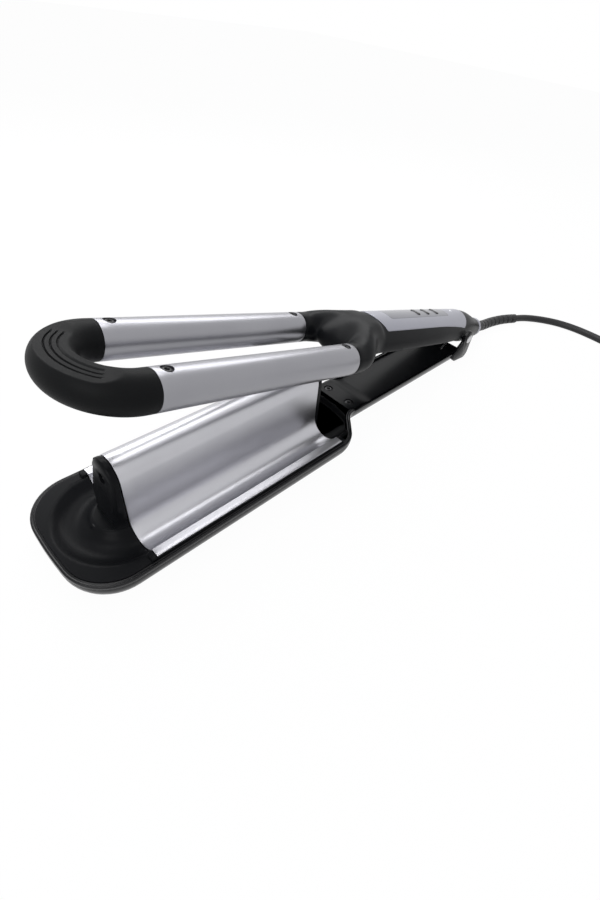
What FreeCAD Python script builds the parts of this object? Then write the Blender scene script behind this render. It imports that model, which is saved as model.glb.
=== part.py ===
import FreeCAD, Part
import math
import os
from FreeCAD import Rotation, Vector

# Hair waver: a fork with two heated barrels over a jaw with one tall heated wave plate.
# Working frame, in mm: X runs from the cool tip to the cord, Z is up, y = 0 is the
# middle plane. x = 0 is the front edge of the wave plate and z = 0 the top of its rims.
# Upper pieces are drawn in the same frame with the barrels' front edges at x = 0, then
# moved back and up a little to where they close, and swung open about the hinge.

# Barrels and the fork that carries them
BARREL_DIAMETER = 18.0
BARREL_LENGTH = 127.0
BARREL_WALL = 1.6
BARREL_SPACING = 42.6
BARREL_RADIUS = BARREL_DIAMETER / 2
BARREL_Y = BARREL_SPACING / 2
TIP_STRAIGHT = 3.0
BARREL_HEIGHT = 4.25
SPIGOT_LENGTH = 10.0
SPIGOT_CLEARANCE = 0.05
SCREW_INSET = 6.0
SCREW_RADIUS = 2.4
SCREW_RECESS = 0.7

# Where the closed fork lies over the plate: how far its barrels' front edges are behind
# the plate's, and how far it stands above the height it is drawn at
CLOSED_SETBACK = 4.1
CLOSED_LIFT = 0.5

# Wave plate: one formed aluminium sheet, a tall ridge between two troughs
PLATE_LENGTH = BARREL_LENGTH + 3.0
SHEET = 1.0
CREST_RADIUS = 9.8
CREST_CENTRE_HEIGHT = 26.2
RUNNING_GAP = 1.2
TROUGH_RADIUS = BARREL_DIAMETER / 2 + RUNNING_GAP
RIM_HALF_WIDTH = BARREL_Y + 14.0

# Tray and lower handle
TRAY_FRONT = TIP_STRAIGHT + BARREL_Y + BARREL_RADIUS + 3.1
TRAY_HALF_WIDTH = RIM_HALF_WIDTH + 2.7
TRAY_CORNER = 25.0
TRAY_FRONT_BOW = 1.6
TRAY_BOW_RADIUS = 200.0
TRAY_WALL = 1.8
TRAY_DEPTH = 18.5
TRAY_BOTTOM_ROUND = 14.0
SHOULDER_X = PLATE_LENGTH + 8.5
SHOULDER_RADIUS = 20.0
WAIST_X = PLATE_LENGTH + 28.0
WAIST_RADIUS = 14.0
LOWER_HANDLE_HALF = 18.0
LOWER_HANDLE_END = BARREL_LENGTH + CLOSED_SETBACK + 173.0
LIP_DROP = 2.3
HANDLE_LIP_DROP = 5.0
LIP_RAMP_START = BARREL_LENGTH + 23.0
LIP_RAMP_END = BARREL_LENGTH + 63.0
PARTING_DROP = 4.6
PARTING_GAP = 0.3
FRAME_WALL = 2.6
FRAME_END = BARREL_LENGTH + 37.0
FRAME_SKIRT = 2.0
FRAME_SKIRT_WALL = 1.4
SKIRT_CLEARANCE = 0.3
LINER_GROOVE = 0.6
LAND_DROP = 2.6
LINER_BOTTOM = 8.8
POCKET_DROP = 6.0
POCKET_START = BARREL_LENGTH + 8.3
POCKET_END = BARREL_LENGTH + 29.0
RAIL_INNER = RIM_HALF_WIDTH - 6.3
VALLEY_CENTRE_X = -0.6
VALLEY_RADIUS = 11.4
ISLAND_TOP = 4.3
ISLAND_RADIUS = 17.0
ISLAND_SCREW_X = 11.5
ISLAND_SCREW_TOP = -1.6
COVER_SCREW_X = BARREL_LENGTH + 39.5
COVER_SCREW_Y = 9.7
COVER_THICKNESS = 2.0
COVER_DROP = 6.2
COVER_GAP = 0.2
BOSS_RADIUS = 4.0
SMALL_SCREW_RADIUS = 1.5
SMALL_HEAD_RADIUS = 2.9
SMALL_HEAD_HEIGHT = 1.6

# Ridge caps
CAP_GAP = 0.3
CAP_FRONT_TOP = 4.0
CAP_FRONT_FOOT = 7.0
CAP_FRONT_INSET = 1.8
CAP_REAR_LENGTH = 2.7

# Hinge
HINGE_X = BARREL_LENGTH + 178.0
HINGE_Z = 4.25
AXLE_X = HINGE_X + CLOSED_SETBACK
AXLE_Z = HINGE_Z + CLOSED_LIFT
OPEN_ANGLE = 14.46
PIN_RADIUS = 2.5
PIN_RUNNING = 0.06
PIN_HEAD_RADIUS = 3.6
PIN_HEAD = 1.0
EAR_INNER = 16.0
EAR_THICKNESS = 3.2
EAR_RADIUS = 6.5
EAR_FOOT_RADIUS = 5.0
EAR_FOOT_X = AXLE_X + 2.0
EAR_FOOT_Z = -9.5
KNUCKLE_RADIUS = 5.4
KNUCKLE_INNER = 8.6
SPRING_COIL_RADIUS = 3.5
SPRING_LEG_SLOPE = 15.5
SPRING_WIRE = 1.4
SPRING_TURNS = 5
SPRING_PITCH = 2.0
SPRING_LEG = 22.0

# Upper handle, as sections: distance behind the barrels, half width, centre height,
# rise, drop
HANDLE_SHAPE = (
    (8.0, 13.0, 4.25, 7.0, 7.0),
    (14.0, 16.5, 4.5, 9.8, 7.3),
    (21.0, 19.0, 4.6, 12.8, 6.2),
    (29.0, 19.6, 4.0, 15.8, 3.2),
    (39.0, 19.2, 3.2, 17.5, 1.5),
    (58.0, 19.0, 3.0, 17.8, 1.2),
    (123.0, 18.6, 3.0, 17.8, 1.2),
    (163.0, 16.6, 3.0, 17.8, 1.2),
    (176.0, 15.4, 3.0, 17.8, 1.4),
    (188.0, 14.2, 3.3, 16.7, 3.6),
    (201.0, 12.2, 3.8, 13.6, 6.4),
    (213.0, 10.0, 4.15, 10.2, 8.0),
    (223.0, 8.4, 4.15, 8.4, 8.4),
)
# One leg of the fork: distance behind the barrels, sideways place as a share of half
# the barrel spacing, half width, centre height, rise, drop
LEG_SHAPE = (
    (0.0, 1.0, BARREL_RADIUS, BARREL_HEIGHT, BARREL_RADIUS, BARREL_RADIUS),
    (7.0, 1.0, BARREL_RADIUS, BARREL_HEIGHT, BARREL_RADIUS, BARREL_RADIUS),
    (14.0, 0.91, 10.2, 4.6, 9.8, 8.8),
    (21.0, 0.70, 11.6, 4.9, 12.0, 7.4),
    (29.0, 0.47, 11.0, 4.3, 14.8, 4.0),
    (41.0, 0.36, 10.4, 3.4, 16.8, 1.7),
)
HOUSING_WALL = 2.0
LEG_BORE_END = BARREL_LENGTH + 29.0

# Controls
BEZEL_START = BARREL_LENGTH + 48.0
BEZEL_END = BARREL_LENGTH + 178.0
BEZEL_HALF = 13.7
BEZEL_CORNER = 6.0
BEZEL_PROUD = 0.5
BEZEL_DEPTH = 1.0
WINDOW_START = BARREL_LENGTH + 59.0
WINDOW_END = BARREL_LENGTH + 148.0
WINDOW_HALF = 6.6
WINDOW_CORNER = 3.0
WINDOW_PROUD = 0.2
BUTTON_PLACES = (
    ("button_power", BARREL_LENGTH + 102.0),
    ("button_plus", BARREL_LENGTH + 116.5),
    ("button_minus", BARREL_LENGTH + 131.0),
)
BUTTON_WIDTH = 2.8
BUTTON_LENGTH = 8.4
BUTTON_GAP = 0.3
BUTTON_PROUD = 0.7
BUTTON_TRAVEL = 0.6
LENS_X = BARREL_LENGTH + 161.0
LENS_RADIUS = 1.4
BOARD_START = BARREL_LENGTH + 60.0
BOARD_END = BARREL_LENGTH + 145.0
BOARD_HALF = 9.5
BOARD_TOP = 13.2
BOARD_THICKNESS = 1.6
SWITCH_HEIGHT = 2.0
SWITCH_SIZE = 6.0
BOARD_POST_INSET = 4.0
BOARD_POST_RADIUS = 2.2
UPPER_COVER_START = BARREL_LENGTH + 43.0
UPPER_COVER_END = BARREL_LENGTH + 164.0
UPPER_COVER_HALF = 15.4
UPPER_COVER_BOTTOM = 1.9
UPPER_COVER_THICKNESS = 2.0
UPPER_COVER_SCREWS = (BARREL_LENGTH + 51.0, BARREL_LENGTH + 156.0)

# Heaters and leads
ROD_RADIUS = 5.4
ROD_INSET = 12.0
HOLDER_LENGTH = 5.0
STRIP_HALF = 4.0
STRIP_LOW = 7.0
STRIP_HIGH = CREST_CENTRE_HEIGHT + 0.8
STRIP_INSET = 16.0
SPREADER = 1.5
SPREADER_GAP = 0.1
SPREADER_LOW = 6.0
PAD_THICKNESS = 1.0
PAD_HALF = 22.0
POST_LENGTH = 8.0
LEAD_RADIUS = 1.0
LEAD_SIDEWAYS = 6.5

# Cord end of the handle
COLLAR_END = BARREL_LENGTH + 229.0
COLLAR_RADIUS = 8.2
COLLAR_WALL = 2.9
SWIVEL_GAP = 0.08
SWIVEL_FLANGE = 7.0
SWIVEL_FLANGE_START = BARREL_LENGTH + 210.0
SWIVEL_FLANGE_END = BARREL_LENGTH + 220.0
NECK_LENGTH = 12.0
NECK_RADIUS = 4.8

# Cord, in the frame of the finished part, where z = 0 is the table; each route's x is
# counted from the end of the swivel's neck
CORD_DIAMETER = 6.5
RELIEF_CORE = 3.9
RELIEF_RING_START = 4.8
RELIEF_RING_END = 4.2
RELIEF_RINGS = 9
RELIEF_RING_LENGTH = 4.2
RELIEF_GAP = 0.5
CORD_BEND_MIN = 5 * CORD_DIAMETER
RELIEF_STRAIGHT = 8.4
RELIEF_ROUTE = (
    (24.6, -1.0, 4.85),
    (42.6, -5.3, 4.7),
    (58.6, -12.3, 4.3),
)
CORD_ROUTE = (
    (69.6, -17.1, 4.03),
    (83.1, -28.0, 3.4),
    (93.1, -42.0, 3.3),
    (98.1, -57.0, 3.3),
    (99.6, -73.0, 3.3),
    (98.8, -92.0, 3.3),
    (96.8, -111.0, 3.3),
    (95.1, -133.0, 4.15),
    (95.1, -156.0, 4.15),
)
COIL_MEAN_RADIUS = 39.0
COIL_TURNS = 6.25
COIL_PITCH = 7.2
COIL_LAYER = 7.2
TIE_THICKNESS = 0.8
TIE_WIDTH = 12.0
TIE_ANGLE = 150.0
PLUG_LENGTH = 36.0
PLUG_WIDTH = 27.0
PLUG_HEIGHT = 21.0
PLUG_NECK = 22.0
PLUG_SECTIONS = 6
PLUG_PIN_RADIUS = 2.4
PLUG_PIN_LENGTH = 19.0
PLUG_PIN_SPACING = 19.0

# Values worked out from the ones above
BARREL_BORE = BARREL_RADIUS - BARREL_WALL
SPIGOT_RADIUS = BARREL_BORE - SPIGOT_CLEARANCE
HANDLE_SECTIONS = tuple((BARREL_LENGTH + row[0],) + row[1:] for row in HANDLE_SHAPE)
LEG_SECTIONS = tuple((BARREL_LENGTH + row[0],) + row[1:] for row in LEG_SHAPE)
TOP = 60.0
FAR = 500.0
TWO_SIDES = (1, -1)


def box(x0, x1, y0, y1, z0, z1):
    """A block between two corners."""
    return Part.makeBox(x1 - x0, y1 - y0, z1 - z0, Vector(x0, y0, z0))


def rod(start, end, radius):
    """A cylinder from one point to another."""
    along = end - start
    return Part.makeCylinder(radius, along.Length, start, along)


def both_sides(shape):
    """A shape and its mirror image across the middle plane."""
    return [shape, shape.mirror(Vector(0, 0, 0), Vector(0, 1, 0))]


def rounded_wire(corners, z):
    """A closed wire through corners (x, y, radius), each rounded by a tangent arc."""
    count = len(corners)
    starts, arcs, ends = [], [], []
    for i in range(count):
        here = Vector(corners[i][0], corners[i][1], z)
        before = Vector(corners[i - 1][0], corners[i - 1][1], z)
        after = Vector(corners[(i + 1) % count][0], corners[(i + 1) % count][1], z)
        incoming = (here - before).normalize()
        outgoing = (after - here).normalize()
        half_turn = incoming.getAngle(outgoing) / 2
        reach = corners[i][2] * math.tan(half_turn)
        if reach < 1e-6:
            starts.append(here)
            ends.append(here)
            arcs.append(None)
            continue
        first = here - incoming * reach
        last = here + outgoing * reach
        inwards = (outgoing - incoming).normalize()
        middle = here + inwards * (corners[i][2] / math.cos(half_turn) - corners[i][2])
        starts.append(first)
        ends.append(last)
        arcs.append(Part.Arc(first, middle, last).toShape())
    edges = []
    for i in range(count):
        if arcs[i] is not None:
            edges.append(arcs[i])
        following = starts[(i + 1) % count]
        if (following - ends[i]).Length > 1e-6:
            edges.append(Part.makeLine(ends[i], following))
    return Part.Wire(edges)


def prism(corners, z0, z1):
    """A solid of constant outline between two heights."""
    face = Part.Face(rounded_wire(corners, z0))
    return face.extrude(Vector(0, 0, z1 - z0))


def side_profile(points, half_width):
    """A solid from an outline in the middle plane, as wide as asked."""
    wire = Part.makePolygon([Vector(x, -half_width, z) for x, z in points + points[:1]])
    return Part.Face(wire).extrude(Vector(0, 2 * half_width, 0))


def tray_corners(inset):
    """The outline of the lower jaw seen from above, drawn in by an inset."""
    front = -TRAY_FRONT + inset
    half = TRAY_HALF_WIDTH - inset
    waist = LOWER_HANDLE_HALF - inset
    near_side = [
        (front + TRAY_FRONT_BOW, -half, TRAY_CORNER - inset),
        (SHOULDER_X - inset / 2, -half, SHOULDER_RADIUS - inset),
        (WAIST_X - inset / 2, -waist, WAIST_RADIUS + inset),
        (FAR, -waist, 0.0),
    ]
    far_side = [(x, -y, r) for x, y, r in reversed(near_side)]
    return [(front, 0.0, TRAY_BOW_RADIUS)] + near_side + far_side


def tray_block(inset, z0, z1, round_radius):
    """The lower jaw's solid form with its bottom edge rounded."""
    block = prism(tray_corners(inset), z0, z1)
    low_edges = [
        edge
        for edge in block.Edges
        if edge.BoundBox.ZMax < z0 + 1e-4 and edge.BoundBox.XMin < FAR - 1.0
    ]
    return block.makeFillet(round_radius, low_edges)


def above_lip(drop):
    """Everything above the lip line, which ramps down to the lower handle."""
    step = HANDLE_LIP_DROP - LIP_DROP
    points = [
        (-FAR, TOP),
        (-FAR, -drop),
        (LIP_RAMP_START, -drop),
        (LIP_RAMP_END, -drop - step),
        (2 * FAR, -drop - step),
        (2 * FAR, TOP),
    ]
    return side_profile(points, 2 * TRAY_HALF_WIDTH)


def ridge_wire(x, grow, low):
    """The closed ridge section at one x: crest and walls, down to a flat foot."""
    crest = CREST_RADIUS + grow
    trough = TROUGH_RADIUS - grow
    across = Vector(0, BARREL_Y, BARREL_HEIGHT - CREST_CENTRE_HEIGHT)
    reach = across.Length
    lean = math.acos((crest + trough) / reach) + math.atan2(across.z, across.y)
    wall_y = crest * math.cos(lean)
    wall_z = CREST_CENTRE_HEIGHT + crest * math.sin(lean)
    foot_y = wall_y + (wall_z - low) * math.tan(lean)
    peak = Vector(x, 0, CREST_CENTRE_HEIGHT + crest)
    shoulder = 0.7071 * crest
    right = Vector(x, wall_y, wall_z)
    left = Vector(x, -wall_y, wall_z)
    right_mid = Vector(x, shoulder, CREST_CENTRE_HEIGHT + shoulder)
    left_mid = Vector(x, -shoulder, CREST_CENTRE_HEIGHT + shoulder)
    right_foot = Vector(x, foot_y, low)
    left_foot = Vector(x, -foot_y, low)
    return Part.Wire([
        Part.Arc(right, right_mid, peak).toShape(),
        Part.Arc(peak, left_mid, left).toShape(),
        Part.makeLine(left, left_foot),
        Part.makeLine(left_foot, right_foot),
        Part.makeLine(right_foot, right),
    ])


def sheet_half(grow):
    """One side of the plate's skin from crest to rim, as edges, offset by grow."""
    crest = CREST_RADIUS + grow
    trough = TROUGH_RADIUS - grow
    rim_z = grow
    across = Vector(0, BARREL_Y, BARREL_HEIGHT - CREST_CENTRE_HEIGHT)
    lean = math.acos((crest + trough) / across.Length) + math.atan2(across.z, across.y)
    normal = Vector(0, math.cos(lean), math.sin(lean))
    crest_centre = Vector(0, 0, CREST_CENTRE_HEIGHT)
    trough_centre = Vector(0, BARREL_Y, BARREL_HEIGHT)
    peak = crest_centre + Vector(0, 0, crest)
    middle_angle = (lean + math.pi / 2) / 2
    crest_mid = crest_centre + Vector(0, math.cos(middle_angle), math.sin(middle_angle)) * crest
    wall_top = crest_centre + normal * crest
    wall_foot = trough_centre - normal * trough
    bottom = trough_centre - Vector(0, 0, trough)
    drop = BARREL_HEIGHT - rim_z
    rim_start = trough_centre + Vector(0, math.sqrt(trough ** 2 - drop ** 2), -drop)
    foot_angle = lean + math.pi
    low_angle = 1.5 * math.pi
    rim_angle = 2 * math.pi - math.asin(drop / trough)
    first_mid = (foot_angle + low_angle) / 2
    second_mid = (low_angle + rim_angle) / 2
    inner_mid = trough_centre + Vector(0, math.cos(first_mid), math.sin(first_mid)) * trough
    outer_mid = trough_centre + Vector(0, math.cos(second_mid), math.sin(second_mid)) * trough
    rim_end = Vector(0, RIM_HALF_WIDTH, rim_z)
    return [
        Part.Arc(peak, crest_mid, wall_top).toShape(),
        Part.makeLine(wall_top, wall_foot),
        Part.Arc(wall_foot, inner_mid, bottom).toShape(),
        Part.Arc(bottom, outer_mid, rim_start).toShape(),
        Part.makeLine(rim_start, rim_end),
    ], peak, rim_end


def wave_plate():
    """The formed sheet: ridge, two troughs and two flat rims."""
    outer, outer_peak, outer_end = sheet_half(0.0)
    inner, inner_peak, inner_end = sheet_half(-SHEET)
    edges = outer + inner + [
        Part.makeLine(outer_end, inner_end),
        Part.makeLine(inner_peak, outer_peak),
    ]
    half = Part.Face(Part.Wire(Part.__sortEdges__(edges)))
    halves = both_sides(half.extrude(Vector(PLATE_LENGTH, 0, 0)))
    return halves[0].fuse(halves[1]).removeSplitter()


def quarter(start, corner, end):
    """A quarter of an ellipse as one rational curve."""
    curve = Part.BSplineCurve()
    curve.buildFromPolesMultsKnots(
        [start, corner, end], [3, 3], [0.0, 1.0], False, 2, [1.0, math.sqrt(0.5), 1.0]
    )
    return curve.toShape()


def oval_wire(x, y, half, z, rise, drop):
    """An oval section across X: its own width, rise above and drop below its centre."""
    right, left = y + half, y - half
    high, low = z + rise, z - drop
    return Part.Wire([
        quarter(Vector(x, right, z), Vector(x, right, high), Vector(x, y, high)),
        quarter(Vector(x, y, high), Vector(x, left, high), Vector(x, left, z)),
        quarter(Vector(x, left, z), Vector(x, left, low), Vector(x, y, low)),
        quarter(Vector(x, y, low), Vector(x, right, low), Vector(x, right, z)),
    ])


def handle_body(inset):
    """The handle's outer form, drawn in by an inset."""
    wires = [
        oval_wire(x, 0.0, half - inset, z, rise - inset, max(drop - inset, 0.2))
        for x, half, z, rise, drop in HANDLE_SECTIONS
    ]
    return Part.makeLoft(wires, True, False)


def leg_body(inset, last_x):
    """One leg of the fork, drawn in by an inset, as far back as last_x."""
    wires = [
        oval_wire(x, share * BARREL_Y, half - inset, z, rise - inset, max(drop - inset, 0.5))
        for x, share, half, z, rise, drop in LEG_SECTIONS
        if x <= last_x
    ]
    return Part.makeLoft(wires, True, False)


def handle_skin(outer, inner, corners):
    """The part of a skin over the handle that lies inside an outline."""
    skin = handle_body(outer).cut(handle_body(inner))
    return skin.common(prism(corners, BARREL_HEIGHT, TOP))


def rectangle(x0, x1, half, radius):
    """Corners of a rounded rectangle about the X axis."""
    return [(x0, -half, radius), (x1, -half, radius), (x1, half, radius), (x0, half, radius)]


def bezel_corners(inset):
    """The outline of the control panel."""
    return rectangle(
        BEZEL_START + inset, BEZEL_END - inset, BEZEL_HALF - inset, BEZEL_CORNER - inset
    )


def window_corners(inset):
    """The outline of the display window inside the panel."""
    return rectangle(
        WINDOW_START + inset, WINDOW_END - inset, WINDOW_HALF - inset, WINDOW_CORNER - inset
    )


def button_hole(x, gap):
    """The slot for one button, right through the roof of the handle."""
    half_width = BUTTON_WIDTH / 2 + gap
    half_length = BUTTON_LENGTH / 2 + gap
    radius = half_width - 0.05
    corners = [
        (x - half_width, -half_length, radius),
        (x + half_width, -half_length, radius),
        (x + half_width, half_length, radius),
        (x - half_width, half_length, radius),
    ]
    return prism(corners, BOARD_TOP + SWITCH_HEIGHT - 1.0, TOP)


def handle_top():
    """Height of the handle's top over the controls."""
    return HANDLE_SECTIONS[6][2] + HANDLE_SECTIONS[6][3]


def axis_rod(x, z, radius, half_length):
    """A cylinder across the tool about its middle plane."""
    return rod(Vector(x, -half_length, z), Vector(x, half_length, z), radius)


def upper_housing():
    """Fork and handle in one moulding, hollow, with knuckles for the hinge."""
    body = handle_body(0.0)
    for leg in both_sides(leg_body(0.0, FAR)):
        body = body.fuse(leg)
    inside = handle_body(HOUSING_WALL).common(
        box(LEG_SECTIONS[3][0], SWIVEL_FLANGE_END, -FAR, FAR, -FAR, FAR)
    )
    body = body.cut(inside)
    for bore in both_sides(leg_body(HOUSING_WALL, LEG_BORE_END)):
        body = body.cut(bore.common(box(LEG_SECTIONS[1][0], LEG_BORE_END, -FAR, FAR, -FAR, FAR)))
    spigot = rod(
        Vector(BARREL_LENGTH - SPIGOT_LENGTH, BARREL_Y, BARREL_HEIGHT),
        Vector(BARREL_LENGTH + 1.0, BARREL_Y, BARREL_HEIGHT),
        SPIGOT_RADIUS,
    )
    bore = rod(
        Vector(BARREL_LENGTH - SPIGOT_LENGTH, BARREL_Y, BARREL_HEIGHT),
        Vector(LEG_SECTIONS[1][0] + 1.0, BARREL_Y, BARREL_HEIGHT),
        3.2,
    )
    for one in both_sides(spigot):
        body = body.fuse(one)
    for one in both_sides(bore):
        body = body.cut(one)
    for screw in barrel_screw_tools(BARREL_LENGTH - SCREW_INSET, 0.02):
        body = body.cut(screw)
    knuckle = rod(
        Vector(HINGE_X, KNUCKLE_INNER, HINGE_Z),
        Vector(HINGE_X, HANDLE_SECTIONS[8][1] - 1.0, HINGE_Z),
        KNUCKLE_RADIUS,
    )
    roof = HOUSING_WALL * 0.75
    for one in both_sides(knuckle):
        body = body.fuse(one.common(handle_body(0.3)))
    for x in UPPER_COVER_SCREWS:
        boss = rod(
            Vector(x, 0, UPPER_COVER_BOTTOM + UPPER_COVER_THICKNESS),
            Vector(x, 0, handle_top() - roof),
            BOSS_RADIUS,
        )
        body = body.fuse(boss)
    for x in board_post_places():
        post = rod(Vector(x, 0, BOARD_TOP), Vector(x, 0, handle_top() - roof), BOARD_POST_RADIUS)
        body = body.fuse(post)
    body = body.cut(axis_rod(HINGE_X, HINGE_Z, PIN_RADIUS + PIN_RUNNING, FAR))
    opening = box(
        UPPER_COVER_START, UPPER_COVER_END, -UPPER_COVER_HALF, UPPER_COVER_HALF,
        -FAR, UPPER_COVER_BOTTOM + UPPER_COVER_THICKNESS,
    )
    spring_opening = box(
        UPPER_COVER_END + 1.5, HINGE_X + 8.0, -KNUCKLE_INNER, KNUCKLE_INNER, -FAR, HINGE_Z + 2.0
    )
    body = body.cut(opening).cut(spring_opening)
    for x in UPPER_COVER_SCREWS:
        body = body.cut(cover_screw(x, 0.0, UPPER_COVER_BOTTOM, 1))
    recess = handle_skin(-2 * BEZEL_PROUD, BEZEL_DEPTH, bezel_corners(-0.05))
    body = body.cut(recess)
    for _, x in BUTTON_PLACES:
        body = body.cut(button_hole(x, BUTTON_GAP))
    lens_hole = rod(Vector(LENS_X, 0, BOARD_TOP), Vector(LENS_X, 0, TOP), LENS_RADIUS)
    body = body.cut(lens_hole)
    throat = rod(
        Vector(SWIVEL_FLANGE_START - 3.0, 0, HINGE_Z),
        Vector(SWIVEL_FLANGE_END, 0, HINGE_Z),
        SWIVEL_FLANGE + 0.25,
    )
    exit_bore = rod(
        Vector(SWIVEL_FLANGE_END - 1.0, 0, HINGE_Z),
        Vector(COLLAR_END, 0, HINGE_Z),
        COLLAR_RADIUS - COLLAR_WALL,
    )
    return body.cut(throat).cut(exit_bore)


def board_post_places():
    """Where the control board hangs from the roof."""
    return (BOARD_START + BOARD_POST_INSET, BOARD_END - BOARD_POST_INSET)


def cover_screw(x, y, z, direction):
    """A small screw: a head seated in the cover and a shank; direction is up or down."""
    head = rod(Vector(x, y, z), Vector(x, y, z + direction * SMALL_HEAD_HEIGHT), SMALL_HEAD_RADIUS)
    shank = rod(Vector(x, y, z), Vector(x, y, z + direction * 8.0), SMALL_SCREW_RADIUS)
    return head.fuse(shank)


def upper_inner_cover():
    """The flat cover that closes the underside of the handle."""
    gap = COVER_GAP
    plate = prism(
        rectangle(UPPER_COVER_START + gap, UPPER_COVER_END - gap, UPPER_COVER_HALF - gap, 1.0),
        UPPER_COVER_BOTTOM,
        UPPER_COVER_BOTTOM + UPPER_COVER_THICKNESS,
    )
    for x in UPPER_COVER_SCREWS:
        plate = plate.cut(cover_screw(x, 0.0, UPPER_COVER_BOTTOM, 1))
    return plate


def upper_cover_screws():
    """The screws of the handle's underside."""
    return Part.makeCompound([
        cover_screw(x, 0.0, UPPER_COVER_BOTTOM, 1) for x in UPPER_COVER_SCREWS
    ])


def control_bezel():
    """The silver panel that wraps over the handle."""
    bezel = handle_skin(-BEZEL_PROUD, BEZEL_DEPTH, bezel_corners(0.0))
    bezel = bezel.cut(prism(window_corners(-0.05), BARREL_HEIGHT, TOP))
    return bezel.cut(rod(Vector(LENS_X, 0, 0), Vector(LENS_X, 0, TOP), LENS_RADIUS))


def display_window():
    """The dark strip under the buttons, let into the panel."""
    window = handle_skin(-WINDOW_PROUD, BEZEL_DEPTH, window_corners(0.0))
    for _, x in BUTTON_PLACES:
        window = window.cut(button_hole(x, BUTTON_GAP))
    return window


def control_button(x):
    """One bar button, standing over its switch on the board."""
    low = BOARD_TOP + SWITCH_HEIGHT + BUTTON_TRAVEL + 0.1
    bar = button_hole(x, 0.0)
    return bar.common(box(x - 5, x + 5, -20, 20, low, handle_top() + BUTTON_PROUD))


def control_board():
    """The circuit board that hangs from the roof of the handle."""
    board = prism(
        rectangle(BOARD_START, BOARD_END, BOARD_HALF, 1.5), BOARD_TOP - BOARD_THICKNESS, BOARD_TOP
    )
    return board


def push_switches():
    """One small push switch under each button."""
    half = SWITCH_SIZE / 2
    return Part.makeCompound([
        box(x - half, x + half, -half, half, BOARD_TOP, BOARD_TOP + SWITCH_HEIGHT)
        for _, x in BUTTON_PLACES
    ])


def indicator_lens():
    """The light pipe behind the buttons, from the board's level to the panel."""
    pipe = rod(Vector(LENS_X, 0, BOARD_TOP), Vector(LENS_X, 0, TOP), LENS_RADIUS - 0.02)
    return pipe.common(handle_body(-BEZEL_PROUD))


def barrel(side):
    """One heated barrel with its two screw holes."""
    start = Vector(0, side * BARREL_Y, BARREL_HEIGHT)
    end = Vector(BARREL_LENGTH, side * BARREL_Y, BARREL_HEIGHT)
    tube = rod(start, end, BARREL_RADIUS).cut(rod(start, end, BARREL_BORE))
    for x in (SCREW_INSET, BARREL_LENGTH - SCREW_INSET):
        for tool in barrel_screw_tools(x, 0.3):
            tube = tube.cut(tool)
    return tube


def barrel_screw_tools(x, gap):
    """The screws through the tops of both barrels at one x."""
    top = BARREL_HEIGHT + BARREL_RADIUS - SCREW_RECESS
    low = BARREL_HEIGHT + BARREL_BORE - 3.5
    screw = rod(Vector(x, BARREL_Y, low), Vector(x, BARREL_Y, top), SCREW_RADIUS + gap)
    return both_sides(screw)


def barrel_screws():
    """The four black screws that hold the barrels on their spigots."""
    screws = []
    for x in (SCREW_INSET, BARREL_LENGTH - SCREW_INSET):
        for screw in barrel_screw_tools(x, 0.0):
            socket = rod(
                Vector(screw.BoundBox.Center.x, screw.BoundBox.Center.y, screw.BoundBox.ZMax - 1.2),
                Vector(screw.BoundBox.Center.x, screw.BoundBox.Center.y, screw.BoundBox.ZMax),
                1.2,
            )
            screws.append(screw.cut(socket))
    return Part.makeCompound(screws)


def heater_rod(side):
    """The ceramic heater inside one barrel."""
    return rod(
        Vector(ROD_INSET, side * BARREL_Y, BARREL_HEIGHT),
        Vector(BARREL_LENGTH - ROD_INSET, side * BARREL_Y, BARREL_HEIGHT),
        ROD_RADIUS,
    )


def heater_holders():
    """Ceramic rings that centre the heaters in the barrels."""
    rings = []
    for start in (ROD_INSET + 1.0, BARREL_LENGTH - ROD_INSET - 1.0 - HOLDER_LENGTH):
        low = Vector(start, BARREL_Y, BARREL_HEIGHT)
        high = Vector(start + HOLDER_LENGTH, BARREL_Y, BARREL_HEIGHT)
        rings += both_sides(rod(low, high, BARREL_BORE).cut(rod(low, high, ROD_RADIUS)))
    return Part.makeCompound(rings)


def cool_tip():
    """The U-shaped tip that joins the barrels, with spigots and grip grooves."""
    ring = Part.makeTorus(
        BARREL_Y, BARREL_RADIUS, Vector(-TIP_STRAIGHT, 0, BARREL_HEIGHT), Vector(0, 0, 1)
    )
    body = ring.common(box(-FAR, -TIP_STRAIGHT, -FAR, FAR, -FAR, FAR))
    for side in TWO_SIDES:
        joint = Vector(-CAP_GAP, side * BARREL_Y, BARREL_HEIGHT)
        body = body.fuse(
            rod(Vector(-TIP_STRAIGHT, side * BARREL_Y, BARREL_HEIGHT), joint, BARREL_RADIUS)
        )
        spigot_end = Vector(SPIGOT_LENGTH, side * BARREL_Y, BARREL_HEIGHT)
        body = body.fuse(rod(joint, spigot_end, SPIGOT_RADIUS))
    facet = box(-FAR, -CAP_GAP, -FAR, FAR, BARREL_HEIGHT + BARREL_RADIUS - 1.4, TOP)
    facet = facet.cut(box(-TIP_STRAIGHT, 0.0, -FAR, FAR, -FAR, FAR))
    body = body.cut(facet)
    top = BARREL_HEIGHT + BARREL_RADIUS - 1.4
    for radius in (BARREL_Y - 2.4, BARREL_Y, BARREL_Y + 2.4):
        groove = Part.makeTorus(radius, 0.5, Vector(-TIP_STRAIGHT, 0, top), Vector(0, 0, 1))
        body = body.cut(groove.common(box(-FAR, -TIP_STRAIGHT - 2.0, -FAR, FAR, -FAR, FAR)))
    for screw in barrel_screw_tools(SCREW_INSET, 0.02):
        body = body.cut(screw)
    return body


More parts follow.
